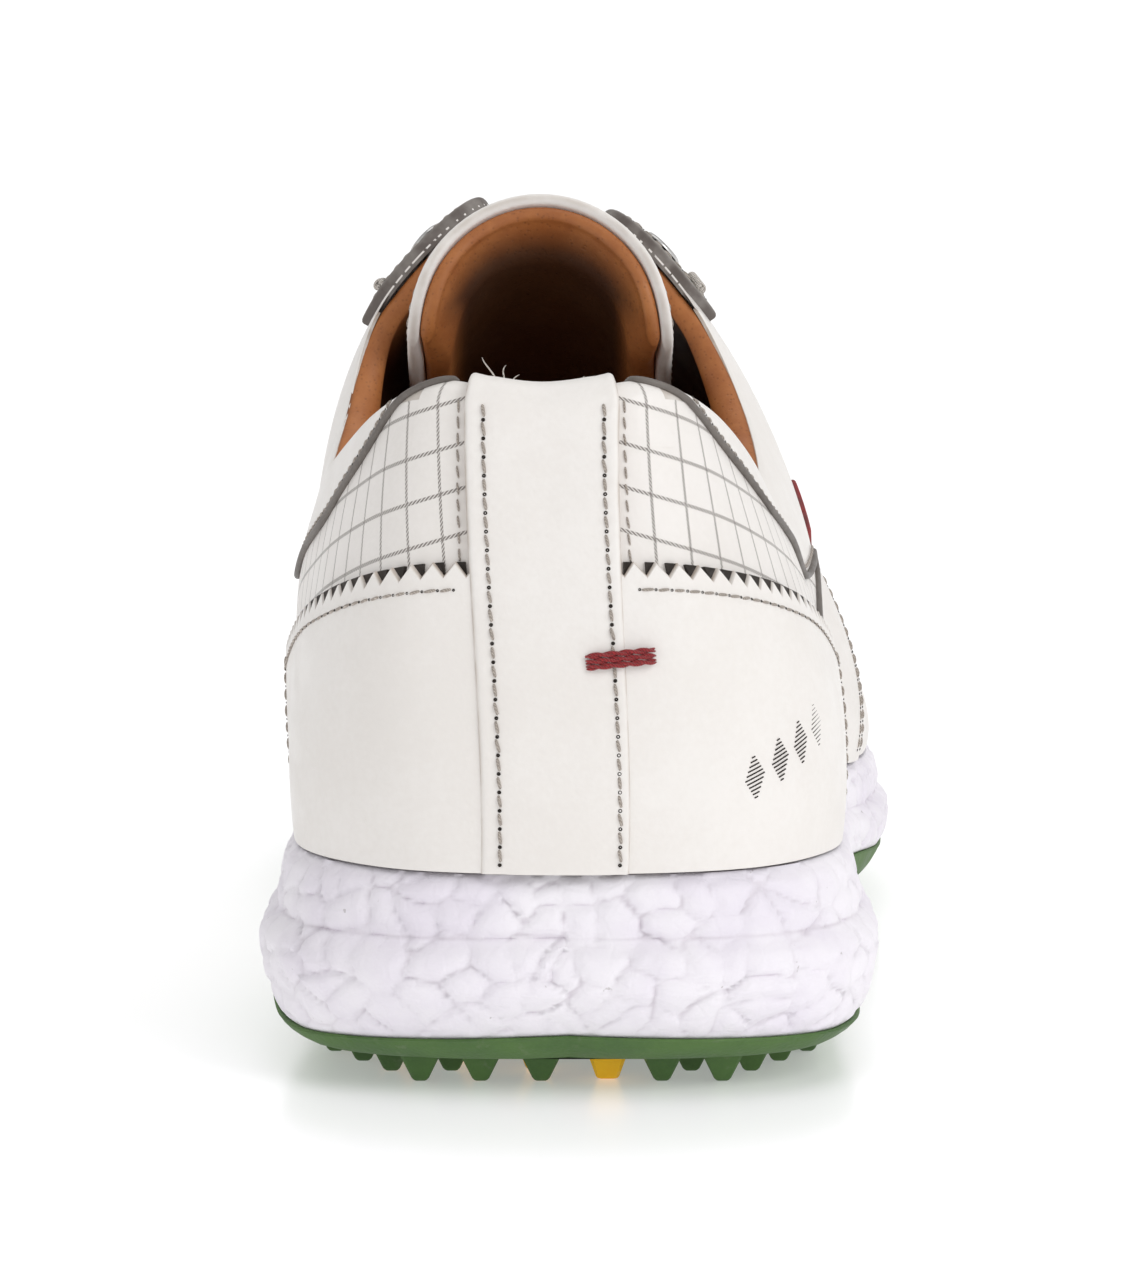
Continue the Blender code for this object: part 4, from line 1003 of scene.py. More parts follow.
def make_counters():
    """The counter panels, whose top edge is cut in teeth, with stitches below it and in front."""
    for side, word in SIDES:
        line_u, line_t, run, rise = counter_top(side)
        teeth = int(run[-1] / TOOTH_PITCH)
        pitch = run[-1] / teeth
        quarters = np.arange(teeth * 4 + 1) * pitch / 4
        u_top = np.interp(quarters, run, line_u)
        drop_mm = (1 - tooth(quarters, pitch)) * TOOTH_HIGH
        t_top = np.interp(quarters, run, line_t) - drop_mm / np.interp(quarters, run, rise)
        rows = np.concatenate([np.linspace(0, 0.9, 22), [0.93, 0.955, 0.975, 0.99, 1.0]])
        behind = np.array([strip_edge(v, side) - 0.12 for v in rows * COUNTER_HEIGHT])
        share = (u_top - u_top[0]) / (u_top[-1] - u_top[0])
        u = u_top[:, None] + (1 - share[:, None]) ** 6 * (behind[None] - u_top[0])
        t = t_top[:, None] * rows[None]
        corner = np.clip((u - 2.9) / 0.4, 0, 1)
        t = t + corner**2 * 0.10 * (1 - rows[None]) ** 3
        s = rib_of(u, side)
        base = skin(s, t)
        gaps = edge_distances(base)
        distance = np.minimum(gaps[1], gaps[3])
        radius = 0.5
        ease = 1 - np.clip(distance / radius, 0, 1)
        face = OVERLAY - radius * (1 - np.sqrt(1 - ease**2))
        face = face + unevenness(s, t, 0.12, 9) * np.clip(distance / 6, 0, 1)
        points = base + skin_normal(s, t) * face[..., None]
        columns, count = s.shape
        front = (columns - 1) * count + np.arange(count)
        rim = np.concatenate([front, np.arange(columns - 2, -1, -1) * count + count - 1])
        flat = points.reshape(-1, 3)
        skirt = flat[rim] - skin_normal(s, t).reshape(-1, 3)[rim] * 1.15
        ring = np.arange(len(rim) - 1)
        first = len(flat)
        skirt_faces = np.stack([rim[:-1], first + ring, first + ring + 1, rim[1:]], axis=-1)
        faces = np.concatenate([grid_faces(columns, count), skirt_faces])
        if side < 0:
            faces = faces[:, ::-1]
        edge = np.concatenate([np.exp(-distance / 0.3).ravel(), np.ones(len(rim))])
        build(
            "counter_shell_" + word, np.concatenate([flat, skirt]), faces, SMOOTH_WHITE, "shoe",
            ["counter_panel_" + word], 45, {"edge": edge},
        )
        make_pinking_gaps(side, word, line_u, line_t, run, rise, pitch, teeth)
        below_notches = 2.1
        t_row = line_t - (TOOTH_HIGH + below_notches) / rise
        keep = (line_u > strip_edge(COUNTER_HEIGHT, side) + 0.1) & (line_u < 3.24)
        look = {"radius": 0.22, "holes": 0.2}
        SEWING.on_skin(line_u[keep], t_row[keep], side, OVERLAY + 0.05, pitch=2.35, **look)
        t = np.linspace(0.05, 0.44, 60)
        SEWING.on_skin(np.full(60, 3.3 - 0.13), t, side, OVERLAY + 0.05, pitch=2.5, **look)


def make_pinking_gaps(side, word, line_u, line_t, run, rise, pitch, teeth):
    """The dark underlay that shows in the notches of the pinked edge: narrow and slanted beside the
    backstay, and full triangles further round."""
    parts = []
    for k in range(teeth):
        notch, tip = (k + 1.0) * pitch, (k + 1.5) * pitch
        if tip > run[-1]:
            break
        share = np.clip((notch - 6) / 22, 0, 1)
        width = (0.42 + 0.5 * share) * pitch
        corners = [(notch, TOOTH_HIGH + 0.15), (tip - 0.06, 0.05), (tip - width, 0.05)]
        inner = []
        for at, below in corners:
            u = np.interp(at, run, line_u)
            t = np.interp(at, run, line_t) - below / np.interp(at, run, rise)
            inner.append((rib_of(u, side), t))
        s, t = np.array(inner).T
        top = layer(s, t, np.full(3, 0.55 + 0.85 * share))
        foot = layer(s, t, np.full(3, -0.3))
        middle = layer(s.mean(), t.mean(), np.array(0.35 + 0.85 * share))
        faces = [(0, 1, 6), (1, 2, 6), (2, 0, 6), (0, 3, 4, 1), (1, 4, 5, 2), (2, 5, 3, 0)]
        if side < 0:
            faces = [face[::-1] for face in faces]
        parts.append((np.concatenate([top, foot, middle[None]]), faces))
    points, faces = joined(parts)
    edge = np.zeros(len(points))
    build("pinking_gaps_" + word, points, faces, UNDERLAY, "shoe", (), 20, {"edge": edge})


def make_backstay():
    """The raised strip up the heel, folded over the rim."""
    border = np.array([0.88, 0.93, 0.965, 0.988, 1])
    a = np.concatenate([-border[::-1], np.linspace(-0.75, 0.75, 13), border])
    rows = np.linspace(0, 1, 52)
    grid_a, b = np.meshgrid(a, rows, indexing="ij")
    for _ in range(2):
        s = np.where(grid_a > 0, grid_a * strip_edge(b, 1), grid_a * strip_edge(b, -1))
        t = b * rim_start(np.abs(s))
    distance = (1 - np.abs(grid_a)) * BACKSTAY_HALF_WIDTH
    ease = 1 - np.clip(distance / 0.8, 0, 1)
    groove = 0.16 * np.exp(-(((distance - 2.1) / 0.8) ** 2))
    face = BACKSTAY - 0.8 * (1 - np.sqrt(1 - ease**2)) - groove + unevenness(s, t, 0.1, 12)
    points = skin(s, t) + skin_normal(s, t) * face[..., None]
    turn = np.radians(np.linspace(0, 112, 15)[1:])
    lip = roll(s[:, -1], turn, face[:, -1], np.abs(s[:, -1]))
    points = np.concatenate([points, lip], axis=1)
    columns, count = points.shape[:2]
    normals = skin_normal(s, t)
    normals = np.concatenate([normals, np.repeat(normals[:, -1:], len(turn), axis=1)], axis=1)
    flat = points.reshape(-1, 3)
    skirts, faces = [], [grid_faces(columns, count)]
    first = len(flat)
    for column, flip in ((0, False), (columns - 1, True)):
        edge = column * count + np.arange(count)
        skirts.append(flat[edge] - normals.reshape(-1, 3)[edge] * 1.6)
        k = np.arange(count - 1)
        strip = np.stack([edge[:-1], first + k, first + k + 1, edge[1:]], axis=-1)
        faces.append(strip if flip else strip[:, ::-1])
        first += count
    distance = np.repeat(distance[:, :1], count, axis=1)
    lip_edge = np.zeros((columns, count))
    lip_edge[:, -1] = 1.0
    edge = np.concatenate([np.maximum(np.exp(-distance / 0.35), lip_edge).ravel(), np.ones(2 * count)])
    build(
        "backstay_strip", np.concatenate([flat, *skirts]), np.concatenate(faces), SMOOTH_WHITE, "shoe",
        ["backstay"], 50, {"edge": edge},
    )
    t = np.linspace(0.02, 0.965, 220)
    for side, inset in ((-1, 2.3), (1, 1.7)):
        u = strip_edge(t, side) * (1 - inset / BACKSTAY_HALF_WIDTH)
        SEWING.on_skin(u, t, side, BACKSTAY, pitch=2.7, radius=0.25, fill=0.7, slant=0.16, holes=0.27)
    t = t[95:]
    look = {"pitch": 2.3, "radius": 0.16, "fill": 0.8, "holes": 0.0, "name": "edge_stitches"}
    for side, _ in SIDES:
        SEWING.on_skin(strip_edge(t, side) + 0.075, t, side, 0.12, **look)


def make_facings():
    """The grey strips that carry the eyelets, stitched along every edge."""
    look = {"pitch": 2.3, "radius": 0.2, "holes": 0.18, "name": "grey_stitches"}
    for side, word in SIDES:
        places = eyelet_places(side)
        holes = [layer(s, t, np.array(OVERLAY)) for s, t in places]
        panel(
            "facing_cover_" + word, between(6.05, 9.55), climbing(facing_line, 1.0), (75, 18), GREY, side,
            face=OVERLAY, drop=2.4, round_over=0.6, pitch=1.1, wave=0.1,
            stands_for=["facing_" + word], holes=holes, seed=14,
        )
        u = np.linspace(6.18, 9.42, 140)
        for inset in (0.028, 0.05):
            SEWING.on_skin(u, facing_line(u) + inset, side, OVERLAY, **look)
        SEWING.on_skin(u, np.full(u.shape, 0.972), side, OVERLAY, **look)
        t = np.linspace(0.935, 0.97, 12)
        SEWING.on_skin(np.full(t.shape, 6.15), t, side, OVERLAY, **look)
        for count, (s, t) in enumerate(places, 1):
            make_eyelet(f"eyelet_{word}_{count}", s, t)


def local_frame(s, t):
    """The directions along, up and out of the upper at one place."""
    normal = skin_normal(np.array(s), np.array(t))
    climb = skin(s, min(t + 0.02, 1)) - skin(s, t - 0.02)
    across = unit(np.cross(climb, normal))
    return across, np.cross(normal, across), normal


def make_eyelet(name, s, t):
    """A flanged metal eyelet, with a barrel that goes down through the facing."""
    across, climb, normal = local_frame(s, t)
    centre = layer(s, t, np.array(OVERLAY))
    turn = np.linspace(0, 2 * math.pi, 40, endpoint=False)
    flange = [(3.62, 0.0), (3.6, 0.22), (3.3, 0.5), (2.9, 0.62), (2.5, 0.52), (2.22, 0.2)]
    profile = [*flange, (2.12, -0.5), (2.1, -3.6), (2.35, -4.4)]
    round_it = np.cos(turn)[:, None] * across + np.sin(turn)[:, None] * climb
    points = np.stack([centre + r * round_it + z * normal for r, z in profile], axis=1)
    faces = grid_faces(len(turn), len(profile), wrap=True)
    build(name + "_ring", points.reshape(-1, 3), faces, METAL, "shoe", [name])


def make_vamp():
    """From seam to seam over the toe, with flex creases across the ball."""
    share = np.linspace(0, 1, 150)
    rows = np.linspace(0, 1, 60)
    a, t = np.meshgrid(share, rows, indexing="ij")
    start = vamp_seam(t) - 0.12
    s = start + a * (RIBS - 2 * start)
    y = skin(s, t)[..., 1]
    flex = 0.35 * np.exp(-(((y - 47) / 16) ** 2)) * np.sin(y * 0.55) * np.clip(t * 3 - 1.2, 0, 1)
    points = layer(s, t, flex + unevenness(s, t, 0.18, 21))
    build(
        "vamp_shell", points.reshape(-1, 3), grid_faces(*s.shape), SMOOTH_WHITE, "shoe",
        ["vamp"], 60, {"edge": np.zeros(s.size)},
    )


def make_stripe():
    """The red stripe on the lateral quarter, and the grey cord that runs up to it."""

    def face(u, t):
        return 0.3 + 0.55 * np.clip((t - 0.5) / 0.05, 0, 1)

    across = between(lambda t: stripe_line(t) + 0.05, lambda t: stripe_line(t) + 0.45)
    panel(
        "stripe_red", across, climbing(0.1, 0.618), (8, 48), RED, 1, face=face, drop=1.5, round_over=0.5,
        pitch=1.6, wave=0.0, stands_for=["side_stripe"], seed=5,
    )
    spots = np.linspace(0, 1, 90)
    knots = [0, 0.2, 0.45, 0.75, 1.0]
    u = eased(spots, knots, [3.42, 3.62, 4.05, 4.6, 5.2], 0.05)
    t = eased(spots, knots, [0.40, 0.45, 0.53, 0.57, 0.575], 0.05)
    radius = np.interp(spots, [0, 0.06, 1], [0.1, 0.55, 0.6])
    points, faces = tube(layer(u, t, np.full(spots.shape, 0.25)), radius, 8)
    edge = np.zeros(len(points))
    build("stripe_cord", points, faces, PIPING, "shoe", (), None, {"edge": edge})


def make_lining():
    """The tan lining, from under the collar's roll down into the shoe, and the vamp's lining."""
    for side, word in SIDES:
        holes = [layer(s, t, np.array(-4.0)) for s, t in eyelet_places(side)]
        u = np.concatenate([np.linspace(0, 5.4, 46), np.linspace(5.45, 6.3, 14), np.linspace(6.38, 9.7, 44)])
        begin = np.radians(np.interp(u, [0, 5.4, 6.1], [1, 1, 0]) * (collar_roll(u) - 6))
        outer = np.interp(u, [0, 5.3, 6.1], [0.1, 0.1, -1.0])
        turns = begin[:, None] + (math.pi - begin)[:, None] * np.linspace(0, 1, 12)[None]
        s = rib_of(u, side)
        start = rim_start(u)
        inner = LINING_INNER - COLLAR_PAD * pad(u, np.ones_like(u))
        base = skin(s, start)
        climb, normal = top_edge(s) - base, skin_normal(s, start)
        half = ((outer - inner) / 2)[:, None]
        offset = outer[:, None] - half + half * np.cos(turns)
        lip = base[:, None] + climb[:, None] * np.sin(turns)[..., None] * 0.97
        lip = lip + normal[:, None] * offset[..., None]
        share = np.linspace(1, 0, 40)[1:]
        low = 0.02
        t = low + (start[:, None] - low) * share[None] ** 1.15
        grid_u = np.repeat(u[:, None], t.shape[1], axis=1)
        past = np.maximum(grid_u - (vamp_seam(t) + 0.4), 0)
        grid_u = grid_u - past
        grid_s = rib_of(grid_u, side)
        wrinkle = 0.22 * np.sin(grid_u * 9 + 4 * t) * np.exp(-(((t - 0.72) / 0.1) ** 2)) * pad(grid_u, 0.9)
        depth = LINING_INNER - COLLAR_PAD * pad(grid_u, t) - wrinkle
        wall = skin(grid_s, t) + skin_normal(grid_s, t) * depth[..., None]
        points = np.concatenate([lip, wall], axis=1)
        edge = np.zeros(points.shape[:2])
        edge[:, 0] = 1.0
        edge[:, 1] = 0.4
        deep = np.zeros(points.shape[:2])
        # Painted shade: deep rises below the roll, darkening the wall further down into the shoe.
        deep[:, lip.shape[1]:] = np.clip((start[:, None] - 0.03 - t) / 0.2, 0, 1)
        faces = grid_faces(*points.shape[:2], flip=side < 0)
        faces = away_from(holes, 2.5, points, faces)
        stands = ["quarter_lining_" + word] + (["heel_lining", "collar_foam"] if side > 0 else [])
        obj = build(
            "collar_lining_" + word, points.reshape(-1, 3), faces, TAN, "shoe", stands, 60,
            {"edge": edge, "deep": deep},
        )
    share = np.linspace(0, 1, 90)
    rows = np.linspace(0.02, 1, 26)
    a, t = np.meshgrid(share, rows, indexing="ij")
    start = vamp_seam(t) + 0.02
    s = start + a * (RIBS - 2 * start)
    points = layer(s, t, np.full(s.shape, LINING_INNER))
    # Painted shade: deep is 1 all over the vamp's lining, which paints it near black.
    build(
        "vamp_inner", points.reshape(-1, 3), grid_faces(*s.shape, flip=True), TAN, "shoe",
        ["vamp_lining"], 60, {"edge": np.zeros(s.size), "deep": np.ones(s.size)},
    )


def make_piping():
    """The bead between collar panel and quarter, which climbs over the rim beside the backstay."""
    for side, word in SIDES:
        u = np.concatenate([np.full(6, 0.85), np.linspace(0.85, 5.15 if side > 0 else 8.35, 420)])
        s, t, start = rib_of(u, side), piping_line(u), rim_start(u)
        climb = np.clip((t - start) / (1 - start), 0, 1)
        turn = np.arcsin(np.clip(eased(climb, [0, 1], [0, 1], 0.02), 0, 1))
        turn[:6] = np.radians(np.linspace(112, 92, 6))
        face = 0.35 + overlap_at_seam(u, t)
        over = roll(s, turn[:, None], face, u)[:, 0]
        flat = layer(s, np.minimum(t, start), face)
        line = np.where((t > start)[:, None], over, flat)
        for _ in range(6):
            line[1:-1] = 0.5 * line[1:-1] + 0.25 * (line[:-2] + line[2:])
        points, faces = tube(line, 0.56, 10)
        build(
            "piping_bead_" + word, points, faces, PIPING, "shoe", ["piping_" + word], None,
            {"edge": np.zeros(len(points))},
        )


def wound_bar(name, s, t, offset, long, wide, look, stands_for, turn, strands, twist, wraps):
    """A bartack: plied strands laid side by side, bound by turns of the same thread. wraps gives the
    first turn's place, the last's and how many there are."""
    across, climb, normal = local_frame(s, t)
    x = across * math.cos(turn) + climb * math.sin(turn)
    y = climb * math.cos(turn) - across * math.sin(turn)
    centre = layer(s, t, np.array(offset))
    parts = []
    along = np.linspace(-0.5, 0.5, 60)
    arch = 0.55 * wide * (1 - (2 * np.abs(along)) ** 6) - 0.35 * wide
    for k in range(strands):
        lane = (k - (strands - 1) / 2) * wide / strands
        for ply in range(2):
            phase = along * long * twist * 2 * math.pi + ply * math.pi + k
            radius = wide / strands * 0.34
            line = centre + x * (along * long)[:, None]
            line = line + y * (lane + radius * 0.75 * np.cos(phase))[:, None]
            line = line + normal * (arch * 0.5 + radius * 0.75 * np.sin(phase))[:, None]
            taper = radius * np.clip(1.15 - (2 * np.abs(along)) ** 8 * 0.7, 0.3, 1.0)
            parts.append(tube(line, taper, 7))
    around = np.linspace(0, 2 * math.pi, 22)
    for at in np.linspace(*wraps):
        lean = RNG.normal(0, 0.10)
        wobble = 1 + RNG.normal(0, 0.04)
        line = centre + x * (at * long + lean * np.cos(around) + 0.16 * np.sin(around))[:, None]
        line = line + y * (wide * 0.53 * wobble * np.cos(around))[:, None]
        line = line + normal * (wide * 0.36 * np.sin(around) + wide * 0.06)[:, None]
        parts.append(tube(line, 0.2, 6, close=False))
    points, faces = joined(parts)
    build(name, points, faces, look, "shoe", stands_for)


def make_bartacks():
    wound_bar(
        "heel_bartack_threads", 0.375, 0.442, BACKSTAY + 0.4, 10.2, 2.5, RED_THREAD,
        ["heel_bartack"], -0.03, strands=3, twist=0.22, wraps=(0, 0, 0),
    )
    for side, word in SIDES:
        wound_bar(
            "facing_bartack_threads_" + word, rib_of(6.3, side), 0.93, OVERLAY + 0.35, 5.0, 1.7,
            PALE_THREAD, ["facing_bartack_" + word], 0.2, strands=2, twist=0.9,
            wraps=(-0.42, 0.42, 8),
        )


def make_thread_ends():
    """Loose ends of thread inside the collar at the heel."""
    parts = []
    ends = [(-0.42, 0.99, 4.6, -0.5), (-0.36, 0.995, 3.4, 0.5), (-0.30, 0.99, 2.6, 0.9)]
    for u, t, long, lean in [*ends, (0.33, 0.99, 2.2, 0.4)]:
        across, climb, normal = local_frame(u % RIBS, 0.95)
        start = skin(u % RIBS, t) - normal * 3.4 + climb * 0.4
        k = np.linspace(0, 1, 14)
        sway = lean * 2.6 * k**2 + 0.5 * np.sin(5 * k)
        line = start + climb * (long * k)[:, None] + across * sway[:, None]
        line = line - normal * (1.3 * np.sin(3.0 * k))[:, None]
        parts.append(tube(line, np.interp(k, [0, 0.8, 1], [0.15, 0.11, 0.04]), 6))
    points, faces = joined(parts)
    build("thread_ends", points, faces, PALE_THREAD, "shoe")


def make_motif():
    """A plain row of four hatched diamonds burnt into the lateral counter."""
    parts = []
    half_width, half_height = 1.75, 3.5
    along = np.linspace(-1, 1, 7)
    for k in range(4):
        u0, t0 = 1.12 + 0.225 * k, 0.185 + 0.03 * k
        run = np.linalg.norm(skin(u0 + 0.5, t0) - skin(u0 - 0.5, t0))
        rise = np.linalg.norm(skin(u0, t0 + 0.05) - skin(u0, t0 - 0.05)) / 0.1
        for step in np.linspace(-1, 1, 13)[1:-1]:
            reach = half_width * (1 - abs(step))
            t = t0 + (step * half_height + 0.35 * reach * along) / rise
            line = layer(u0 + reach * along / run, t, np.full(along.shape, OVERLAY + 0.02))
            parts.append(tube(line, 0.12, 5))
    points, faces = joined(parts)
    build("hatched_diamonds", points, faces, HOLE, "shoe")


# ---------------------------------------------------------------- tongue


def pillow(place, long, high, middle, half, radius, dimple=None):
    """A closed pad between two depths: full in the middle and rounded to nothing at its edges."""
    near = tuple(radius * x for x in (0, 0.03, 0.12, 0.3, 0.55, 0.8, 1.1, 1.7))
    a, b = (fine_steps(length, 1.9, near) for length in (long, high))
    grid_a, grid_b = np.meshgrid(a, b, indexing="ij")
    gaps = np.minimum.reduce([grid_a * long, (1 - grid_a) * long, grid_b * high, (1 - grid_b) * high])
    ease = 1 - np.clip(gaps / radius, 0, 1)
    full = half(grid_b) * np.sqrt(np.clip(1 - ease**2, 0, 1))
    front, back = middle(grid_b) - full, middle(grid_b) + full
    if dimple is not None:
        change = dimple(grid_a, grid_b) * np.clip(gaps / 4, 0, 1)
        front, back = front - change * 0.5, back + change
    outer, inner = place(grid_a, grid_b, front), place(grid_a, grid_b, back)
    columns, rows = grid_a.shape
    count = columns * rows
    inner_index = np.arange(count).reshape(columns, rows) + count
    border = np.arange(count).reshape(columns, rows)
    for line in (np.s_[0], np.s_[-1], np.s_[:, 0], np.s_[:, -1]):
        inner_index[line] = border[line]
    faces = grid_faces(columns, rows)
    flipped = inner_index.ravel()[grid_faces(columns, rows, flip=True)]
    points = np.concatenate([outer.reshape(-1, 3), inner.reshape(-1, 3)])
    edge = np.tile(np.exp(-gaps / 0.5).ravel(), 2)
    used = np.unique(np.concatenate([faces.ravel(), flipped.ravel()]))
    remap = np.zeros(2 * count, int)
    remap[used] = np.arange(len(used))
    return points[used], remap[np.concatenate([faces, flipped])], edge[used]


def wavy(a, v):
    """The tongue's edges aren't straight: they waver a little."""
    return 1 + 0.012 * np.sin(19 * v + 2 * np.sign(a)) * np.abs(a) ** 3


def make_tongue():
    """The leather cover, the padded lining inside it and a row of stitches near its edge."""

    def corner(a, v):
        """The top corners are cut away in a quarter circle."""
        past = np.clip((np.abs(a) - 0.62) / 0.38, 0, 1)
        return v * (1 - 0.17 * (1 - np.sqrt(np.clip(1 - past**2, 0, 1))))

    def outer(a, v, depth):
        a = a * 2 - 1
        return tongue_point(a * wavy(a, v), corner(a, v), depth)

    def inner(a, v, depth):
        a = (a * 2 - 1) * 0.985
        return tongue_point(a * wavy(a, v), corner(a, 0.02 + v * 0.972), depth)

    def quilted(a, v):
        folds = 0.35 * np.sin(8 * v + 3 * a) * np.sin(5 * a * 3.1)
        return 0.5 * np.exp(-(((v - 0.86) / 0.1) ** 2)) + folds * 0.5

    def cover_half(b):
        return 1.3 - 0.35 * np.clip((b - 0.86) / 0.12, 0, 1)

    def padding_half(b):
        return 1.95 - 0.8 * np.clip((b - 0.86) / 0.12, 0, 1)

    def padding_middle(b):
        return 2 * cover_half(b) + 0.15 + padding_half(b)

    points, faces, edge = pillow(outer, 76, 112, cover_half, cover_half, 1.3)
    build(
        "tongue_cover", points, faces, SMOOTH_WHITE, "tongue", ["tongue_leather"], 70,
        {"edge": edge * 0.6},
    )
    points, faces, edge = pillow(inner, 70, 108, padding_middle, padding_half, 1.7, quilted)
    from_edge = -0.5 * np.log(np.maximum(edge, 1e-300))
    # Painted shade: deep darkens the padding from about 3 mm in from its edges, towards near black further
    # in.
    deep = 0.95 * np.clip((from_edge - 3.2) / 9.0, 0, 1)
    padding = build(
        "tongue_padding", points, faces, TAN, "tongue", ["tongue_foam", "tongue_lining"], 70,
        {"edge": edge * 0.25, "deep": deep},
    )
    around = np.concatenate([
        np.stack([np.full(60, -0.93), np.linspace(0.3, 0.955, 60)]).T,
        np.stack([np.linspace(-0.93, 0.93, 80), np.full(80, 0.962)]).T,
        np.stack([np.full(60, 0.93), np.linspace(0.955, 0.3, 60)]).T,
    ])
    reach = corner(around[:, 0], around[:, 1])
    line = tongue_point(around[:, 0], reach, np.full(len(around), -0.02))
    above = tongue_point(around[:, 0], reach, np.full(len(around), -1.0))
    sewing = Sewing()
    sewing.row(line, unit(above - line), pitch=2.5, radius=0.24, holes=0)
    points, faces, _ = sewing.parts["stitches"]
    build("tongue_stitches", np.concatenate(points), faces, THREAD, "tongue")


# ---------------------------------------------------------------- inside


def make_sockliner():
    """A cupped, leather-topped insole."""

    def raised(plan, up):
        return np.column_stack([plan, top_of_midsole(plan[:, 1]) + BOARD_TOP + 0.3 + up])

    s = np.arange(0, RIBS, 0.1)
    wall = [(-1.2, 0.0), (-0.2, 0.25), (0.0, 0.9), (0.0, 3.4), (-0.25, 4.2)]
    rings = []
    for out, up in [*wall, (-0.9, 4.75), (-2.2, 4.9), (-4.5, 4.75), (-8.0, 4.4)]:
        plan = outline(s, (-SOCKLINER_INSET + 0.15 + out) * np.ones((len(s), 1)))
        rings.append(raised(plan, up))
    centre_line = 0.5 * (loop(FEATHER, s) + loop(FEATHER, RIBS - s))
    last = outline(s, (-SOCKLINER_INSET - 8.0) * np.ones((len(s), 1)))
    for share in (0.2, 0.42, 0.64, 0.84, 1.0):
        plan = last * (1 - share) + centre_line * share
        arch = 0.8 * np.exp(-(((plan[:, 1] + 15) / 28) ** 2)) * np.clip(-plan[:, 0] / 22, 0, 1)
        rings.append(raised(plan, 4.4 - 0.35 * math.sin(share * math.pi / 2) + arch))
    points = np.stack(rings, axis=1)
    faces = grid_faces(*points.shape[:2], wrap=True)
    edge = np.zeros(points.shape[:2])
    edge[:, 3:6] = 0.5
    build(
        "sockliner_cover", points.reshape(-1, 3), faces, TAN, "sockliner", ["sockliner"], 60,
        {"edge": edge},
    )
    line = raised(outline(s, (-SOCKLINER_INSET - 4.0) * np.ones((len(s), 1))), 4.82)
    line = np.concatenate([line, line[:1]])
    sewing = Sewing()
    sewing.row(line, np.tile([0.0, 0.0, 1.0], (len(line), 1)), pitch=3.2, radius=0.22, holes=0)
    points, faces, _ = sewing.parts["stitches"]
    build("sockliner_stitches", np.concatenate(points), faces, THREAD, "sockliner")


# ---------------------------------------------------------------- sole


def voronoi(points, seeds):
    """For each point: its nearest seed, how far it is from the border with the next, and the pair."""
    near = np.zeros((len(points), 2), int)
    gap = np.zeros((len(points), 2))
    for first in range(0, len(points), 4000):
        block = points[first : first + 4000]
        far = np.linalg.norm(block[:, None] - seeds[None], axis=-1)
        order = np.argpartition(far, 2, axis=1)[:, :3]
        ranked = np.take_along_axis(far, order, axis=1).argsort(axis=1)
        order = np.take_along_axis(order, ranked, axis=1)
        near[first : first + 4000] = order[:, :2]
        gap[first : first + 4000] = np.take_along_axis(far, order[:, :2], axis=1)
    apart = np.linalg.norm(seeds[near[:, 0]] - seeds[near[:, 1]], axis=-1)
    border = (gap[:, 1] ** 2 - gap[:, 0] ** 2) / (2 * np.maximum(apart, 1e-6))
    return near, border


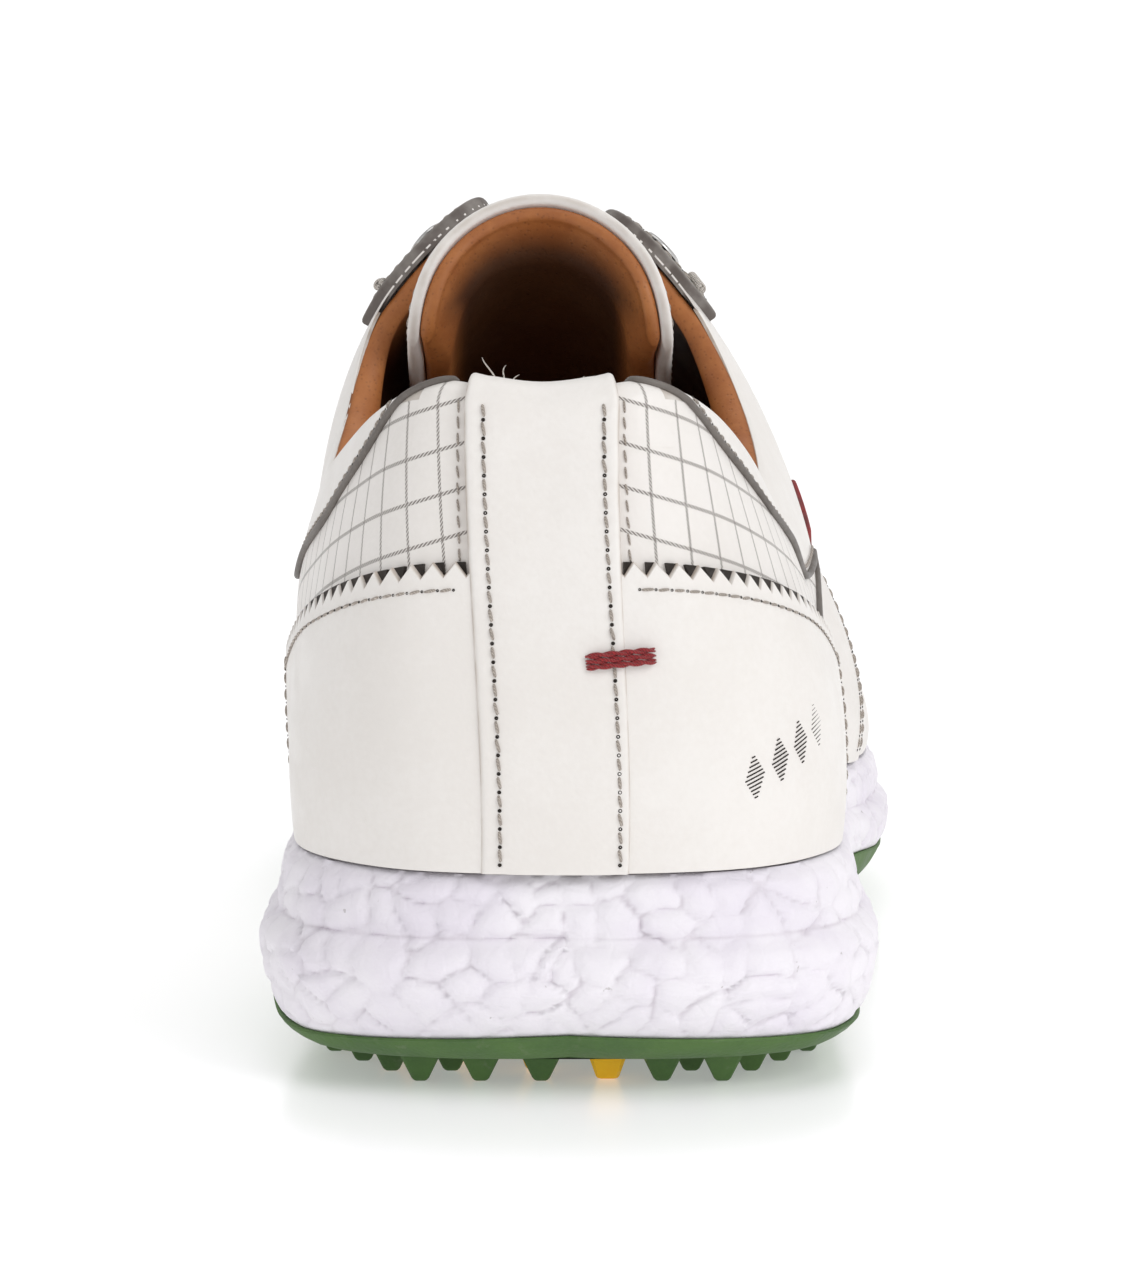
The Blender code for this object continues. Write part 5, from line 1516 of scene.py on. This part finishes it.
def make_midsole():
    """The foam midsole, its skin cracked into irregular cells, with a step running round it."""
    count = 900
    s = np.arange(count) * RIBS / count
    wall = wrap_height(s)
    rows = np.linspace(0, 1, 44)
    share = (wall[:, None] - 0.06) + rows[None] * (1.0 - wall[:, None] + 0.06)
    tuck = np.clip((wall[:, None] + 0.012 - share) / 0.02, 0, 1)
    reach = sole_side(np.maximum(share, 0.0)) - 1.1 * tuck
    base = sole_point(s[:, None], share, reach)
    run = run_along(loop(FEATHER, s))
    total = run[-1] + np.linalg.norm(loop(FEATHER, s[-1]) - loop(FEATHER, s[0]))
    along = np.repeat(run[:, None], len(rows), axis=1)
    flat = np.stack([along.ravel(), base[..., 2].ravel() * 1.08], axis=-1)
    sideways = 0.7 * np.sin(flat[:, 1] * 0.62 + flat[:, 0] * 0.23)
    wobble = np.stack([sideways, 0.6 * np.sin(flat[:, 0] * 0.41)], axis=-1)
    rng = np.random.default_rng(11)
    seeds = []
    for row, z in enumerate(np.arange(2.0, 44.0, 5.2)):
        places = np.arange(0, total, 6.0) + (row % 2) * 3.0
        x = places + rng.normal(0, 1.25, len(places))
        seeds.append(np.stack([x, z + rng.normal(0, 1.1, len(places))], axis=-1))
    seeds = np.concatenate(seeds)
    seeds = seeds[rng.random(len(seeds)) > 0.08]
    size = len(seeds)
    wrapped = np.concatenate([seeds, seeds + [total, 0], seeds - [total, 0]])
    near, border = voronoi(flat + wobble, wrapped)
    near = near % size
    pair = (near.min(axis=1) * 7919 + near.max(axis=1) * 104729) % 1009 / 1009
    weight = 0.35 + 0.65 * pair
    tilt = rng.normal(0, 1, (size, 3))
    here = flat - seeds[near[:, 0]]
    here[:, 0] = (here[:, 0] + total / 2) % total - total / 2
    slope = (here[:, 0] * tilt[near[:, 0], 0] + here[:, 1] * tilt[near[:, 0], 1]) / 4
    crack = np.exp(-((border / 0.46) ** 2)) * weight
    dome = 1 - np.exp(-border / 1.3)
    relief = 0.42 * dome + 0.13 * slope.clip(-2, 2) + 0.10 * tilt[near[:, 0], 2] - 0.62 * crack
    groove = np.exp(-(((share - 0.672) / 0.012) ** 2)).ravel()
    calm = np.clip((share - wall[:, None] - 0.01) / 0.05, 0, 1)
    calm = calm * np.clip((1.0 - share) / 0.05, 0.25, 1)
    relief = (relief - 0.25 * groove) * calm.ravel()
    side = np.stack([*np.moveaxis(outward(s), -1, 0), np.zeros(count)], axis=-1)
    points = base + np.repeat(side[:, None], len(rows), axis=1) * relief.reshape(count, -1)[..., None]
    inner = outline(s, -7.0 * np.ones((count, 1)))
    cap = np.column_stack([inner, top_of_midsole(inner[:, 1])])
    low = sole_point(s, np.maximum(wall - 0.06, 0.02), -8.0 * np.ones(count))
    points = np.concatenate([low[:, None], points, cap[:, None]], axis=1)
    marks = np.maximum(crack * 0.95, groove * 0.9).reshape(count, -1) * np.clip(calm + 0.2, 0, 1)
    marks = np.concatenate([np.zeros((count, 1)), marks, np.zeros((count, 1))], axis=1)
    faces = grid_faces(count, points.shape[1], wrap=True)
    build(
        "midsole_skin", points.reshape(-1, 3), faces, FOAM, "shoe", ["midsole"], 60,
        {"crack": marks},
    )


def make_outsole():
    """The green cup, up the sole's side, across its underside, and the lugs."""
    count = 600
    s = np.arange(count) * RIBS / count
    wall = wrap_height(s)
    outer = sole_side(wall) + OUTSOLE_PROUD
    lip = ((-0.03, OUTSOLE_WALL), (-0.004, OUTSOLE_WALL), (0.004, OUTSOLE_WALL - 0.35), (0.004, 0.3))
    rows = [sole_point(s, wall + up, outer - inset) for up, inset in (*lip, (-0.006, 0.0))]
    for k in np.linspace(0, 1, 9)[1:]:
        share = wall - 0.006 + (0.085 - wall + 0.006) * k
        rows.append(sole_point(s, share, sole_side(share) + OUTSOLE_PROUD))
    for share, extra in ((0.06, 0.35), (0.035, 0.0), (0.012, -0.6), (0.0, -1.4)):
        rows.append(sole_point(s, np.full(count, share), sole_side(share) + extra))
    edge = rows[-1][:, :2]
    middle = 0.5 * (edge + edge[-np.arange(count) % count])
    for k in (0.12, 0.3, 0.5, 0.7, 0.88, 1.0):
        plan = edge * (1 - k) + middle * k
        rows.append(np.column_stack([plan, LUG_HEIGHT + spring(plan[:, 1])]))
    points = np.stack(rows, axis=1)
    faces = grid_faces(*points.shape[:2], wrap=True, flip=True)
    parts = [(points.reshape(-1, 3), faces)]
    for x, y in lug_places():
        parts.append(lug(x, y, LUG_BASE * HALF_SIDE, 1.0))
    points, faces = joined(parts)
    build("outsole_tread", points, faces, GREEN, "shoe", ["outsole"], 28)


def inside(edge, x, y):
    """Whether a plan point is within a closed outline."""
    ahead = np.roll(edge, -1, axis=0)
    crosses = (edge[:, 1] > y) != (ahead[:, 1] > y)
    with np.errstate(divide="ignore", invalid="ignore"):
        at = edge[:, 0] + (y - edge[:, 1]) / (ahead[:, 1] - edge[:, 1]) * (ahead[:, 0] - edge[:, 0])
    return bool(np.sum(crosses & (x < at)) % 2)


def from_segment(x, y, start, end):
    """How far a plan point is from the straight line between two others."""
    run = Vector(end) - Vector(start)
    share = min(1.0, max(0.0, (Vector((x, y)) - Vector(start)).dot(run) / run.length_squared))
    return (Vector((x, y)) - Vector(start) - share * run).length


def lug_places():
    """Staggered rows of lugs, kept inside the tread's edge, out of the waist and off the inserts."""
    edge = sole_point(np.arange(0, RIBS, 0.5), 0.0, LUG_MARGIN)[:, :2]
    apart = INSERT_HALF_WIDTH + 0.57 * LUG_BASE
    places = []
    for row in range(-18, 19):
        y = row * LUG_ROW + LUG_FIRST_Y
        if WAIST[0] < y < WAIST[1]:
            continue
        for column in range(-6, 7):
            x = (column + 0.5 * (row % 2)) * LUG_PITCH + LUG_FIRST_X
            far = all(from_segment(x, y, *ends) > apart for ends in INSERTS.values())
            if far and inside(edge, x, y):
                places.append((x, y))
    return places


def lug(x, y, base, tip, sink=0.7, cut=0.16):
    """A four-sided pyramid with a flat tip, its corners and its tip chamfered. It is sunk a little
    into the sole."""
    low = float(spring(y))
    high = LUG_HEIGHT + sink
    sizes = [(0.0, tip * 0.72), (0.16, tip * 0.98)]
    sizes += [(z, tip + (base - tip) * (z / high) ** 0.92) for z in (0.5, LUG_HEIGHT - 0.5, high)]
    rings = []
    for z, half in sizes:
        short = half - half * cut
        ring = [(half, short), (short, half), (-short, half), (-half, short)]
        ring += [(-px, -py) for px, py in ring]
        rings.append([(x + px, y + py, low + z) for px, py in ring])
    return np.array(rings).reshape(-1, 3), [tuple(range(8))[::-1], *bands(len(rings), 8)]


def make_inserts():
    """The yellow bars: a plate with round ends, a bevelled border and broad lugs."""
    half = INSERT_HALF_WIDTH
    profile = [(-half, 0.0), (-1.1, 0.0), (-0.7, -0.3), (-0.3, -0.2), (0.0, 0.1), (0.0, 1.4)]
    for name, ends in INSERTS.items():
        start, end = (np.array(point) for point in ends)
        heading = math.atan2(*(end - start)[::-1])
        turns = np.linspace(-math.pi / 2, math.pi / 2, 24)
        rim = [(end, heading + turn) for turn in turns]
        rim += [(start, heading + math.pi + turn) for turn in turns]
        low = LUG_HEIGHT + float(spring(start[1]))
        ring = np.array([
            [
                (*(centre + (half + out) * np.array([math.cos(w), math.sin(w)])), low + z)
                for out, z in profile
            ]
            for centre, w in rim
        ])
        parts = [(ring.reshape(-1, 3), grid_faces(len(rim), len(profile), wrap=True))]
        base, tip = (size * HALF_SIDE for size in INSERT_LUG)
        for k in range(INSERT_LUGS):
            x, y = start + (end - start) * k / (INSERT_LUGS - 1)
            parts.append(lug(x, y, base, tip, sink=0.3, cut=0.22))
        points, faces = joined(parts)
        build(name + "_moulding", points, faces, YELLOW, "shoe", [name], 28)


# ---------------------------------------------------------------- stage


def make_stage():
    """A plain pale floor and three soft lamps."""
    look = Look("studio_floor")
    tone = look.noise(1.2, 1.0)
    colour = look.mix(tone, (0.895, 0.895, 0.90), (0.90, 0.90, 0.905))
    look.finish(colour, 0.2, None, Specular_IOR_Level=0.5, Emission_Strength=0.3)
    mesh = bpy.data.meshes.new("floor")
    corners = ((-9, -6), (9, -6), (9, 30), (-9, 30))
    mesh.from_pydata([(x, y, -0.0002) for x, y in corners], [], [(0, 1, 2, 3)])
    mesh.materials.append(look.material)
    floor = bpy.data.objects.new("floor", mesh)
    bpy.context.scene.collection.objects.link(floor)
    make_world()
    for name, place, size, power in (
        ("key", (1.3, -1.3, 1.3), 1.2, 15.0),
        ("fill", (-1.2, -1.5, 0.9), 1.4, 1.5),
        ("top", (0.1, 0.3, 1.9), 1.6, 6.0),
    ):
        light = bpy.data.lights.new(name, "AREA")
        light.shape = "DISK"
        light.size = size
        light.energy = power
        lamp = bpy.data.objects.new(name, light)
        lamp.location = place
        aim = Vector((0, -0.05, 0.06)) - Vector(place)
        lamp.rotation_euler = aim.to_track_quat("-Z", "Y").to_euler()
        bpy.context.scene.collection.objects.link(lamp)


def make_world():
    """A white studio, bright at the horizon and softer overhead."""
    world_look = bpy.data.worlds.new("studio")
    world_look.use_nodes = True
    tree = world_look.node_tree
    background = tree.nodes["Background"]
    place = tree.nodes.new("ShaderNodeTexCoord")
    parts = tree.nodes.new("ShaderNodeSeparateXYZ")
    ramp = tree.nodes.new("ShaderNodeMapRange")
    for key, number in (("From Min", 0.10), ("From Max", 0.42), ("To Min", 1.0), ("To Max", 0.55)):
        ramp.inputs[key].default_value = number
    tree.links.new(place.outputs["Generated"], parts.inputs[0])
    tree.links.new(parts.outputs["Z"], ramp.inputs["Value"])
    tree.links.new(ramp.outputs["Result"], background.inputs["Strength"])
    background.inputs["Color"].default_value = (1.0, 1.0, 1.0, 1.0)
    bpy.context.scene.world = world_look


def make_camera():
    """A long lens behind the heel, looking 7 degrees down."""
    data = bpy.data.cameras.new("camera")
    data.sensor_width = 36.0
    data.lens = 175.0
    data.shift_x = 0.0023
    data.shift_y = 0.0219
    data.clip_start, data.clip_end = 0.05, 60.0
    camera = bpy.data.objects.new("camera", data)
    camera.location = (-0.0033, -1.0452, 0.174)
    camera.rotation_euler = (math.radians(83.0), 0.0, 0.0)
    bpy.context.scene.collection.objects.link(camera)
    bpy.context.scene.camera = camera
    bpy.context.scene.view_settings.view_transform = "Standard"


# The inner CAD nodes. The rest take the smooth leather.
NODE_LOOKS = {
    "strobel_board": BOARD, "toe_puff": BOARD, "heel_counter": BOARD, "shank": NYLON,
    "collar_foam": PADDING, "tongue_foam": PADDING,
}

for make in (
    make_camera, make_stage, make_quarters, make_heel_rims, make_collars, make_counters, make_backstay,
    make_facings, make_vamp, make_stripe, make_lining, make_piping, make_bartacks, make_thread_ends,
    make_motif, make_tongue, make_sockliner, make_midsole, make_outsole, make_inserts,
):
    make()

SEWN = {
    "stitches": (THREAD, "white_thread"),
    "grey_stitches": (THREAD, "white_thread"),
    "edge_stitches": (THREAD, "white_thread"),
    "needle_holes": (HOLE, "grey_leather"),
}
for name, (points, faces, _) in SEWING.parts.items():
    look, slot = SEWN[name]
    build("sewn_" + name, np.concatenate(points), faces, look, "shoe")
for name, node in frame["nodes"].items():
    node.data.materials.clear()
    node.data.materials.append(NODE_LOOKS.get(name, SMOOTH_WHITE))
